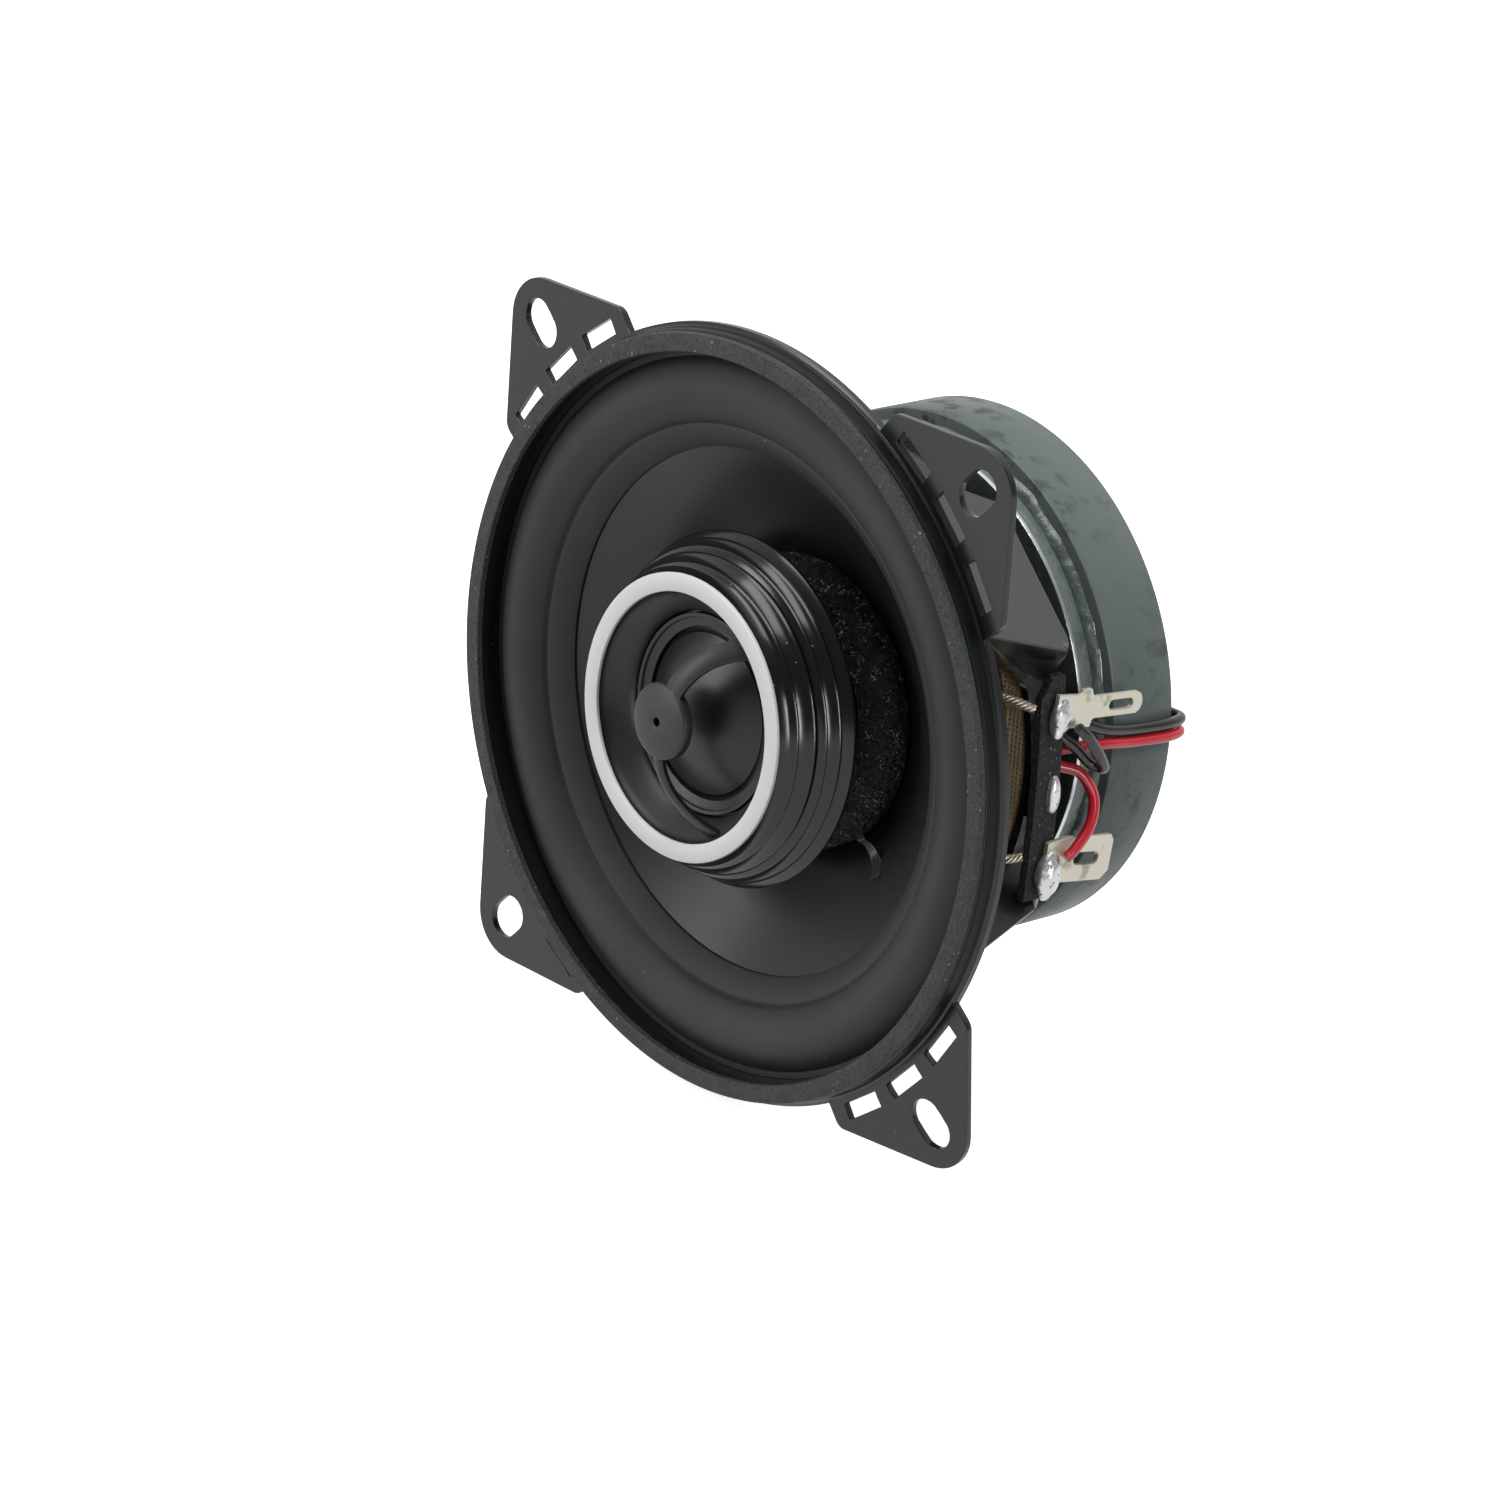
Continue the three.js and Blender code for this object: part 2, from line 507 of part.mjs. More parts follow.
// ---- terminals ----------------------------------------------------------------------------
// A blade cut in the Y-Z plane. Its outline gives [y, z] measured from the board's rear edge.
function blade(outline, hole, centreZ, slope) {
  const s = new THREE.Shape(outline.map(([y, z]) => new THREE.Vector2(y, z)));
  const [h0, h1, hw] = hole;
  const gap = new THREE.Path();
  gap.absarc(h1 - hw / 2, 0, hw / 2, -Math.PI / 2, Math.PI / 2);
  gap.absarc(h0 + hw / 2, 0, hw / 2, Math.PI / 2, Math.PI * 1.5);
  s.holes.push(gap);
  const g = new THREE.ExtrudeGeometry(s, { depth: TAB_T, bevelEnabled: false, curveSegments: 5 });
  // Local X runs back along Y, local Y stands along Z and the thickness goes out along X.
  const axes = new THREE.Matrix4().makeBasis(
    new THREE.Vector3(0, Math.cos(slope), Math.sin(slope)),
    new THREE.Vector3(0, -Math.sin(slope), Math.cos(slope)),
    new THREE.Vector3(1, 0, 0),
  );
  return g.applyMatrix4(axes).translate(BOARD.outer + THIN_FIT, BOARD.rear, centreZ);
}

const TAB_T = 0.8;
const tabNarrow = blade([
  [-2.4, -2.2], [2.0, -2.6], [3.9, -2.6], [3.9, -1.5], [12.1, -1.5], [12.9, -0.9], [13.1, 0],
  [12.9, 0.9], [12.1, 1.5], [3.9, 1.5], [3.5, 2.6], [2.2, 2.6], [1.6, 1.9], [-2.4, 2.2],
], [7.0, 11.4, 1.4], 8.9, THREE.MathUtils.degToRad(-5));
const tabWide = blade([
  [-2.2, -2.4], [1.6, -3.1], [8.6, -3.1], [9.9, -1.9], [9.9, 2.3], [9.3, 3.1], [1.2, 3.1], [-2.2, 2.4],
], [3.0, 7.6, 1.7], -11.7, THREE.MathUtils.degToRad(-8));
add('tab_narrow', tabNarrow, tinned);
add('tab_wide', tabWide, tinned);

let board = solid(box(BOARD.inner, BOARD.outer, BOARD.front, BOARD.rear, BOARD.bottom, BOARD.top));
const corner = box(30, 45, -4, 4, -4, 4).rotateX(THREE.MathUtils.degToRad(35));
board = board.subtract(solid(corner.translate(0, BOARD.front - 2.4, BOARD.top + 2.6)));
board = board.subtract(solid(rivetBore));
add('terminal_board', fromSolid(board), finish(0x1c1d1f, 0.85, 0));

const head = new THREE.SphereGeometry(1, 16, 8).scale(1.0, 1.0, 2.7).translate(BOARD.outer, RIVET.y, RIVET.z);
const headCut = solid(head).intersect(solid(box(BOARD.outer + THIN_FIT, 42, 15, 25, -10, 5)));
const shank = new THREE.CylinderGeometry(RIVET.shank, RIVET.shank, 5.6, 16)
  .rotateZ(Math.PI / 2).translate(36.1, RIVET.y, RIVET.z);
const bucked = new THREE.CylinderGeometry(1.1, 1.1, 0.7, 16)
  .rotateZ(Math.PI / 2).translate(33.2, RIVET.y, RIVET.z);
add('terminal_rivet', fromSolid(headCut.add(solid(shank)).add(solid(bucked))), solderMetal);

// ---- tweeter leads, held all the way from the tabs to the tweeter -------------------------
const sideX = MAGNET.r + LEAD_R + 0.35;
const behindMagnet = MAGNET.rear + LEAD_R + 0.35;
const behindPlate = BACK_PLATE.rear + LEAD_R + 0.35;

// Round the magnet's rear edge, in over the back plate, then forward through the vent and post.
function toTweeter(z, zVent) {
  const lean = Math.tan(TWEETER_TILT);
  return [
    [sideX + 0.1, MAGNET.rear - 1.0, z], [sideX - 0.8, behindMagnet - 0.1, z], [33.4, behindMagnet + 0.1, z],
    [30.0, behindMagnet + 1.4, z], [BACK_PLATE.r + 0.1, behindPlate - 0.2, z - 0.1],
    [24, behindPlate + 0.3, z - 0.4], [12, behindPlate + 0.4, z - 1.1],
    [4.0, behindPlate + 0.5, zVent], [0.5, behindPlate - 0.6, zVent], [0, BACK_PLATE.rear - 3, zVent],
    [0, 38, zVent], [0, TILT_PIVOT, zVent], [0, 3.2, zVent + (TILT_PIVOT - 3.2) * lean],
  ];
}

add('lead_black', lead([
  [40.2, 22.9, 6.6], [40.6, 24.4, 5.2], [40.4, 27.4, 1.6], [39.6, 28.7, -0.2], [38.3, 27.9, 0.1],
  [37.2, 25.6, 2.6], [36.0, 23.8, 4.4], [35.8, 24.6, 5.6], [36.6, 27.4, 5.2], [sideX, 31.2, 3.9],
  [sideX, 36, 3.1], ...toTweeter(2.7, 1.0),
], LEAD_R, 64, 3), finish(0x141516, 0.25, 0));
add('lead_red', lead([
  [40.3, 22.6, -11.2], [40.5, 23.8, -10.2], [40.3, 26.6, -7.2], [39.3, 27.7, -3.9], [37.6, 26.4, -0.9],
  [36.0, 24.0, 0.0], [35.2, 23.0, 0.8], [35.2, 24.0, 1.6], [36.3, 27.6, 2.0], [sideX, 31.6, 1.9],
  [sideX, 36, 1.3], ...toTweeter(0.9, -1.0),
], LEAD_R, 64, 3), finish(0xc41f2a, 0.25, 0));

// ---- solder -------------------------------------------------------------------------------
const startOf = (name) => solid(group.getObjectByName(name).geometry);
function solderBlob(name, y, z, size, tab, leadName) {
  let blob = solid(new THREE.SphereGeometry(1, 14, 8).scale(...size).translate(BOARD.outer + 0.5, y, z));
  blob = blob.intersect(solid(box(BOARD.outer + THIN_FIT, 50, 0, 50, -40, 40)));
  const scaled = fromSolid(solid(tab));
  const grown = scaled.clone();
  grown.computeBoundingBox();
  const c = grown.boundingBox.getCenter(new THREE.Vector3());
  const grow = 1 + THIN_FIT / TAB_T * 3;
  grown.translate(-c.x, -c.y, -c.z).scale(grow, 1.01, 1.03).translate(c.x, c.y, c.z);
  blob = blob.subtract(solid(grown)).subtract(startOf(leadName));
  const pieces = blob.decompose().sort((a, b) => b.volume() - a.volume());
  add(name, fromSolid(pieces[0]), solderMetal);
}
solderBlob('solder_upper', 20.9, 7.9, [1.9, 2.1, 3.5], tabNarrow, 'lead_black');
solderBlob('solder_lower', 20.7, -13.6, [2.0, 2.2, 3.6], tabWide, 'lead_red');

// ---- tinsel leads, from the board's front edge to the back of the cone --------------------
function tinsel(name, z, bow) {
  const end = 21.5;
  add(name, lead([
    [37.6, BOARD.front - TINSEL_R - 0.1, z], [36.0, 15.3, z + bow], [32.0, 13.6, z + bow * 1.4],
    [27.0, 12.4, z * 0.9 + bow], [end, coneY(end) + CONE_T + 1.5, z * 0.75],
  ], TINSEL_R, 14, 3), finish(0xc8b684, 0.4, 0.6));
}
tinsel('tinsel_upper', 9.4, 0.9);
tinsel('tinsel_lower', -10.8, -0.5);

export default group;
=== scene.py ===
import json
import math

import bpy
import bmesh
from mathutils import Matrix, Vector, noise
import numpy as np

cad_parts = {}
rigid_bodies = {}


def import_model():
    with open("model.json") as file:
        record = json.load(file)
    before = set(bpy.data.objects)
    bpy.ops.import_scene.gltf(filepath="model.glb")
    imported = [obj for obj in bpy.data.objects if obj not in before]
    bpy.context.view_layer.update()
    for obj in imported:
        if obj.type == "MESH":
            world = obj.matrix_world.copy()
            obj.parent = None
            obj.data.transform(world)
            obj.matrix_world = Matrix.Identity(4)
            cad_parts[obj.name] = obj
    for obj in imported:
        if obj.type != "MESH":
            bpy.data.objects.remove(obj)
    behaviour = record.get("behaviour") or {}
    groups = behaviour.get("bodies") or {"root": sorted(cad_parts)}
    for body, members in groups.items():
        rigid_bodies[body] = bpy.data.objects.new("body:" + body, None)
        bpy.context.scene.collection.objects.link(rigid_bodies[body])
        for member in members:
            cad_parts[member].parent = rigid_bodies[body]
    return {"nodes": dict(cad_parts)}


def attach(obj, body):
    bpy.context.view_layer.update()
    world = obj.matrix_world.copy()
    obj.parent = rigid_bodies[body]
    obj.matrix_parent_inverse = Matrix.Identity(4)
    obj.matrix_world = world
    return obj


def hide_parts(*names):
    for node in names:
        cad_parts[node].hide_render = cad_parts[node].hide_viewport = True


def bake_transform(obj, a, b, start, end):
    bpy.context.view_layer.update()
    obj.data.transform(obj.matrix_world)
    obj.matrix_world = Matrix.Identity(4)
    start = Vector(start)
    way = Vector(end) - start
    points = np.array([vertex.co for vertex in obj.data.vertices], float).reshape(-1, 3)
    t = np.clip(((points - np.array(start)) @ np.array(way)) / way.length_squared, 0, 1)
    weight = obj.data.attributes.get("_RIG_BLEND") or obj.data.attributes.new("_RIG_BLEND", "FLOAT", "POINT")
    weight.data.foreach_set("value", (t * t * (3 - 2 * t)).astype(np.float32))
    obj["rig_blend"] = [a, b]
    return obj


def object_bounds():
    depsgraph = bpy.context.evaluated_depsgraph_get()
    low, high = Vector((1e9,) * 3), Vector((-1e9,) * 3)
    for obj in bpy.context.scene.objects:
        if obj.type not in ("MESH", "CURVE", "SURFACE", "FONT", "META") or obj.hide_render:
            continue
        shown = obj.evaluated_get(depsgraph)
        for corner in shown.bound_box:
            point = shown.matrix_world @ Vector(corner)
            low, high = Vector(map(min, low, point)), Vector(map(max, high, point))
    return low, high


for leftover in list(bpy.data.objects):  # the start-up cube, lamp and camera
    bpy.data.objects.remove(leftover)
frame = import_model()
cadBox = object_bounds()
mm = 0.001
scene = bpy.context.scene
print("frame loaded:", len(frame["nodes"]), "CAD nodes")

# camera, lights and floor
view = {
    "azimuth": 47.4375, "elevation": 19.779, "roll": 4.063,
    "distance": 775.19, "shiftRight": 5.123, "shiftUp": -3.742, "gasketToOrigin": 4.2,
    "lens": 142.87, "sensor": 36.0,
}
studio = {
    "nearLight": 0.13, "farLight": 1.0, "farWay": (-0.62, 0.66, 0.42),
    "farEdge": (-0.25, 0.85), "boxesAimAt": (0, 0.015, 0),
    "floorColor": (0.8, 0.8, 0.8), "floorBounce": (0.12, 0.12, 0.12), "floorSize": 8.0,
    "floorGap": 0.0002, "floorGlow": 0.82, "floorSheen": 1.1,
    "topBox": {"place": (0.0, -0.25, 0.85), "size": (0.7, 0.35), "power": 3.6},
    "rightStrip": {"place": (0.95, -0.235, 0.1), "size": (0.05, 0.62), "power": 2.8},
    "leftBox": {"place": (-0.6, -0.95, 0.35), "size": (0.35, 0.8), "power": 5.6},
    "magnetBox": {"place": (0.8, 0.35, 0.75), "size": (0.4, 0.4), "power": 5.0, "mirrored": False},
}


def deselectAll():
    if bpy.context.object and bpy.context.object.mode != "OBJECT":
        bpy.ops.object.mode_set(mode="OBJECT")
    bpy.ops.object.select_all(action="DESELECT")


def setCamera():
    azimuth, elevation, roll = (math.radians(view[k]) for k in ("azimuth", "elevation", "roll"))
    back = Vector((math.sin(azimuth) * math.cos(elevation), -math.cos(azimuth) * math.cos(elevation),
                   math.sin(elevation)))
    level = Vector((math.cos(azimuth), math.sin(azimuth), 0))
    upright = back.cross(level)
    right = level * math.cos(roll) + upright * math.sin(roll)
    up = upright * math.cos(roll) - level * math.sin(roll)
    place = back * view["distance"] + right * view["shiftRight"] + up * view["shiftUp"]
    place.y -= view["gasketToOrigin"]
    deselectAll()
    bpy.ops.object.camera_add(location=place * mm)
    cam = bpy.context.object
    cam.matrix_world = Matrix.Translation(place * mm) @ Matrix((right, up, back)).transposed().to_4x4()
    cam.data.lens = view["lens"]
    cam.data.sensor_width = view["sensor"]
    cam.data.clip_start = 0.05
    cam.data.clip_end = 50
    scene.camera = cam


def addSoftBox(name, box):
    deselectAll()
    bpy.ops.object.light_add(type="AREA", location=box["place"])
    lamp = bpy.context.object
    lamp.name = name
    lamp.data.shape = "RECTANGLE"
    lamp.data.size, lamp.data.size_y = box["size"]
    lamp.data.energy = box["power"]
    lamp.visible_glossy = box.get("mirrored", True)
    lamp.rotation_euler = (Vector(studio["boxesAimAt"]) - lamp.location).to_track_quat("-Z", "Y").to_euler()


def setWorld():
    scene.view_settings.view_transform = "Standard"
    world = bpy.data.worlds.new("paperSurround")
    scene.world = world
    world.use_nodes = True
    tree = world.node_tree
    tree.nodes.clear()
    out = tree.nodes.new("ShaderNodeOutputWorld")
    seen = tree.nodes.new("ShaderNodeBackground")
    seen.inputs["Strength"].default_value = 1.0
    lit = tree.nodes.new("ShaderNodeBackground")
    # the paper sweep behind the speaker is bright, the studio in front of it is dim
    way = tree.nodes.new("ShaderNodeTexCoord")
    facing = tree.nodes.new("ShaderNodeVectorMath")
    facing.operation = "DOT_PRODUCT"
    facing.inputs[1].default_value = Vector(studio["farWay"]).normalized()
    spread = tree.nodes.new("ShaderNodeMapRange")
    spread.interpolation_type = "SMOOTHSTEP"
    spread.inputs["From Min"].default_value, spread.inputs["From Max"].default_value = studio["farEdge"]
    spread.inputs["To Min"].default_value = studio["nearLight"]
    spread.inputs["To Max"].default_value = studio["farLight"]
    tree.links.new(way.outputs["Generated"], facing.inputs[0])
    tree.links.new(facing.outputs["Value"], spread.inputs["Value"])
    tree.links.new(spread.outputs[0], lit.inputs["Strength"])
    path = tree.nodes.new("ShaderNodeLightPath")
    shown = tree.nodes.new("ShaderNodeMixShader")
    for background in (seen, lit):
        background.inputs["Color"].default_value = (1, 1, 1, 1)
    tree.links.new(path.outputs["Is Camera Ray"], shown.inputs[0])
    tree.links.new(lit.outputs[0], shown.inputs[1])
    tree.links.new(seen.outputs[0], shown.inputs[2])
    tree.links.new(shown.outputs[0], out.inputs[0])


def setFloor():
    deselectAll()
    lowest = cadBox[0].z
    bpy.ops.mesh.primitive_plane_add(size=studio["floorSize"], location=(0, 0, lowest - studio["floorGap"]))
    floor = bpy.context.object
    floor.name = "paperFloor"
    bpy.ops.object.transform_apply(location=True, rotation=True, scale=True)
    paper = bpy.data.materials.new("whitePaper")
    paper.use_nodes = True
    nodes, links = paper.node_tree.nodes, paper.node_tree.links
    shader = nodes["Principled BSDF"]
    shader.inputs["Base Color"].default_value = (*studio["floorColor"], 1)
    shader.inputs["Roughness"].default_value = 0.9
    shader.inputs["Specular IOR Level"].default_value = 0.1
    glow = nodes.new("ShaderNodeEmission")
    glow.inputs["Strength"].default_value = studio["floorGlow"]
    seenOnly = nodes.new("ShaderNodeMixShader")
    both = nodes.new("ShaderNodeAddShader")
    rays = nodes.new("ShaderNodeLightPath")
    links.new(shader.outputs[0], both.inputs[0])
    links.new(glow.outputs[0], both.inputs[1])
    bounce = nodes.new("ShaderNodeBsdfDiffuse")  # the paper throws back less light than it shows
    bounce.inputs["Color"].default_value = (*studio["floorBounce"], 1)
    sheen = nodes.new("ShaderNodeEmission")  # but polished paint still mirrors it as white
    sheen.inputs["Strength"].default_value = studio["floorSheen"]
    mirrored = nodes.new("ShaderNodeMixShader")
    links.new(rays.outputs["Is Glossy Ray"], mirrored.inputs[0])
    links.new(bounce.outputs[0], mirrored.inputs[1])
    links.new(sheen.outputs[0], mirrored.inputs[2])
    links.new(rays.outputs["Is Camera Ray"], seenOnly.inputs[0])
    links.new(mirrored.outputs[0], seenOnly.inputs[1])
    links.new(both.outputs[0], seenOnly.inputs[2])
    links.new(seenOnly.outputs[0], nodes["Material Output"].inputs[0])
    floor.data.materials.append(paper)


def setStudio():
    setWorld()
    for name in ("topBox", "rightStrip", "leftBox", "magnetBox"):
        addSoftBox(name, studio[name])
    setFloor()
    print("studio ready")


# shader groups shared by several finishes
def newGroup(name, inputs, outputs):
    group = bpy.data.node_groups.new(name, "ShaderNodeTree")
    group.interface.new_socket(name="Vector", in_out="INPUT", socket_type="NodeSocketVector")
    for label, value in inputs.items():
        socket = group.interface.new_socket(name=label, in_out="INPUT", socket_type="NodeSocketFloat")
        socket.default_value = value
    for label in outputs:
        group.interface.new_socket(name=label, in_out="OUTPUT", socket_type="NodeSocketFloat")
    return group, group.nodes.new("NodeGroupInput"), group.nodes.new("NodeGroupOutput")


def addMath(tree, operation, first, second=None, third=None):
    node = tree.nodes.new("ShaderNodeMath")
    node.operation = operation
    for i, value in enumerate((first, second, third)):
        if value is None:
            continue
        if isinstance(value, (int, float)):
            node.inputs[i].default_value = value
        else:
            tree.links.new(value, node.inputs[i])
    return node.outputs[0]


def makeGrain():
    # fine moulded or cast grain, plus its slow variation
    group, start, end = newGroup("mouldGrain", {"Scale": 1500, "Coarse": 90}, ("Height", "Drift"))
    fine = group.nodes.new("ShaderNodeTexNoise")
    fine.inputs["Detail"].default_value = 4
    slow = group.nodes.new("ShaderNodeTexNoise")
    slow.inputs["Detail"].default_value = 3
    for node, label in ((fine, "Scale"), (slow, "Coarse")):
        group.links.new(start.outputs["Vector"], node.inputs["Vector"])
        group.links.new(start.outputs[label], node.inputs["Scale"])
    group.links.new(fine.outputs[0], end.inputs["Height"])
    group.links.new(slow.outputs[0], end.inputs["Drift"])
    return group


def makeDustAndGlints():
    # sparse small specks, thicker in some places than in others: settled dust on most finishes, painted glints
    # on the foam
    group, start, end = newGroup("dustAndGlintSpecks", {"Scale": 700, "Size": 0.16, "Clumps": 60}, ("Mask",))
    cells = group.nodes.new("ShaderNodeTexVoronoi")
    cells.inputs["Randomness"].default_value = 1.0
    patch = group.nodes.new("ShaderNodeTexNoise")
    patch.inputs["Detail"].default_value = 2
    group.links.new(start.outputs["Vector"], cells.inputs["Vector"])
    group.links.new(start.outputs["Scale"], cells.inputs["Scale"])
    group.links.new(start.outputs["Vector"], patch.inputs["Vector"])
    group.links.new(start.outputs["Clumps"], patch.inputs["Scale"])
    split = group.nodes.new("ShaderNodeSeparateColor")
    group.links.new(cells.outputs["Color"], split.inputs[0])
    chosen = addMath(group, "GREATER_THAN", split.outputs[0], 0.8)
    reach = addMath(group, "MULTIPLY", start.outputs["Size"], patch.outputs[0])
    near = addMath(group, "LESS_THAN", cells.outputs["Distance"], reach)
    dense = addMath(group, "GREATER_THAN", patch.outputs[0], 0.5)
    mask = addMath(group, "MULTIPLY", addMath(group, "MULTIPLY", chosen, near), dense)
    group.links.new(mask, end.inputs["Mask"])
    return group


def makeSmudge():
    # handling marks and stains: a broad noise cut off between two levels
    group, start, end = newGroup("handlingMarks", {"Scale": 60, "Low": 0.5, "High": 0.7}, ("Mask",))
    wide = group.nodes.new("ShaderNodeTexNoise")
    wide.inputs["Detail"].default_value = 6
    wide.inputs["Roughness"].default_value = 0.6
    cut = group.nodes.new("ShaderNodeMapRange")
    group.links.new(start.outputs["Vector"], wide.inputs["Vector"])
    group.links.new(start.outputs["Scale"], wide.inputs["Scale"])
    group.links.new(wide.outputs[0], cut.inputs["Value"])
    group.links.new(start.outputs["Low"], cut.inputs["From Min"])
    group.links.new(start.outputs["High"], cut.inputs["From Max"])
    group.links.new(cut.outputs[0], end.inputs["Mask"])
    return group


def makeWeave():
    # plain woven cloth lying across the axis: threads along X and Z, with small open squares
    group, start, end = newGroup("plainWeave", {"Threads": 1500}, ("Height", "Gap"))
    axes = group.nodes.new("ShaderNodeSeparateXYZ")
    group.links.new(start.outputs["Vector"], axes.inputs[0])
    waves = []
    for axis in ("X", "Z"):
        turnsOf = addMath(group, "MULTIPLY", axes.outputs[axis], start.outputs["Threads"])
        waves.append(addMath(group, "ABSOLUTE", addMath(group, "SINE", turnsOf)))
    group.links.new(addMath(group, "MAXIMUM", *waves), end.inputs["Height"])
    low = addMath(group, "LESS_THAN", addMath(group, "MAXIMUM", *waves), 0.5)
    group.links.new(low, end.inputs["Gap"])
    return group


grainGroup = makeGrain()
dustAndGlintGroup = makeDustAndGlints()
smudgeGroup = makeSmudge()
weaveGroup = makeWeave()


class Finish:
    # a Principled material whose colour, roughness and normal are built up step by step
    def __init__(self, name, color, roughness, metallic=0.0, **sockets):
        self.material = bpy.data.materials.new(name)
        self.material.use_nodes = True
        self.material.diffuse_color = (*color, 1)
        self.tree = self.material.node_tree
        self.shader = self.tree.nodes["Principled BSDF"]
        self.shader.inputs["Base Color"].default_value = (*color, 1)
        self.shader.inputs["Roughness"].default_value = roughness
        self.shader.inputs["Metallic"].default_value = metallic
        for label, value in sockets.items():
            self.shader.inputs[label.replace("_", " ")].default_value = value
        self.color, self.colorFrom, self.bumpFrom = color, None, None
        self.place = self.tree.nodes.new("ShaderNodeTexCoord").outputs["Object"]

    def effect(self, group, **values):
        node = self.tree.nodes.new("ShaderNodeGroup")
        node.node_tree = group
        self.tree.links.new(self.place, node.inputs["Vector"])
        for label, value in values.items():
            node.inputs[label].default_value = value
        return node.outputs

    def tint(self, mask, color, strength=1.0):
        mix = self.tree.nodes.new("ShaderNodeMix")
        mix.data_type = "RGBA"
        self.tree.links.new(addMath(self.tree, "MULTIPLY", mask, strength), mix.inputs["Factor"])
        if self.colorFrom is None:
            mix.inputs["A"].default_value = (*self.color, 1)
        else:
            self.tree.links.new(self.colorFrom, mix.inputs["A"])
        mix.inputs["B"].default_value = (*color, 1)
        self.colorFrom = mix.outputs["Result"]
        self.tree.links.new(self.colorFrom, self.shader.inputs["Base Color"])
        return self

    def grain(self, scale, coarse):
        return self.effect(grainGroup, Scale=scale, Coarse=coarse)

    def marks(self, scale, low, high):
        return self.effect(smudgeGroup, Scale=scale, Low=low, High=high)["Mask"]

    def dust(self, scale, size, clumps, color, strength):
        mask = self.effect(dustAndGlintGroup, Scale=scale, Size=size, Clumps=clumps)["Mask"]
        return self.tint(mask, color, strength)

    def rough(self, mask, low, high):
        spread = self.tree.nodes.new("ShaderNodeMapRange")
        self.tree.links.new(mask, spread.inputs["Value"])
        spread.inputs["To Min"].default_value = low
        spread.inputs["To Max"].default_value = high
        self.tree.links.new(spread.outputs[0], self.shader.inputs["Roughness"])
        return self

    def bump(self, height, depth, strength=1.0):
        node = self.tree.nodes.new("ShaderNodeBump")
        node.inputs["Strength"].default_value = strength
        node.inputs["Distance"].default_value = depth * mm
        self.tree.links.new(height, node.inputs["Height"])
        if self.bumpFrom is not None:
            self.tree.links.new(self.bumpFrom, node.inputs["Normal"])
        self.bumpFrom = node.outputs[0]
        self.tree.links.new(self.bumpFrom, self.shader.inputs["Normal"])
        return self


def paintFinish():
    f = Finish("basketPaint", (0.0085, 0.0098, 0.0108), 0.2)
    grain = f.grain(2600, 45)
    f.bump(grain["Height"], 0.012, 0.5).rough(grain["Drift"], 0.15, 0.32)
    return f.dust(520, 0.12, 80, (0.3, 0.3, 0.29), 0.5).material


def gasketFinish():
    f = Finish("gasketStipple", (0.036, 0.041, 0.042), 0.7)
    grain = f.grain(2200, 420)
    fleck = f.marks(2500, 0.5, 0.62)
    pit = f.marks(2000, 0.53, 0.64)
    f.bump(grain["Height"], 0.3, 1.0).bump(fleck, 0.1, 1.0).rough(grain["Drift"], 0.45, 0.8)
    f.tint(fleck, (0.082, 0.09, 0.09), 0.8).tint(pit, (0.012, 0.014, 0.0145), 0.75)
    return f.dust(1300, 0.34, 160, (0.36, 0.36, 0.35), 0.7).material


def surroundFinish():
    f = Finish("rollRubber", (0.014, 0.0158, 0.0162), 0.6)
    grain = f.grain(1900, 50)
    f.bump(grain["Height"], 0.02, 0.6).rough(grain["Drift"], 0.5, 0.72)
    return f.dust(420, 0.13, 60, (0.28, 0.28, 0.27), 0.45).material


def coneFinish():
    f = Finish("coneBlack", (0.0095, 0.0112, 0.0114), 0.4)
    grain = f.grain(1300, 28)
    f.bump(grain["Height"], 0.01, 0.5).rough(grain["Drift"], 0.3, 0.46)
    return f.dust(300, 0.09, 45, (0.3, 0.3, 0.29), 0.5).material


def clothFinish():
    f = Finish("spiderCloth", (0.58, 0.43, 0.24), 0.7, Sheen_Weight=0.15)
    weave = f.effect(weaveGroup, Threads=4600)
    f.bump(weave["Height"], 0.14, 1.0).tint(weave["Gap"], (0.09, 0.06, 0.03), 0.85)
    return f.tint(f.marks(110, 0.45, 0.7), (0.38, 0.25, 0.11), 0.6).material


def paperFinish():
    f = Finish("kraftPaper", (0.42, 0.31, 0.17), 0.7)
    grain = f.grain(900, 120)
    return f.bump(grain["Height"], 0.03).tint(grain["Drift"], (0.33, 0.23, 0.12), 0.6).material


def copperFinish():
    f = Finish("copperWinding", (0.6, 0.28, 0.12), 0.3, 0.9)
    axes = f.tree.nodes.new("ShaderNodeSeparateXYZ")
    f.tree.links.new(f.place, axes.inputs[0])
    turnsOf = addMath(f.tree, "SINE", addMath(f.tree, "MULTIPLY", axes.outputs["Y"], 25000.0))
    return f.bump(turnsOf, 0.05).tint(turnsOf, (0.3, 0.12, 0.05), 0.5).material


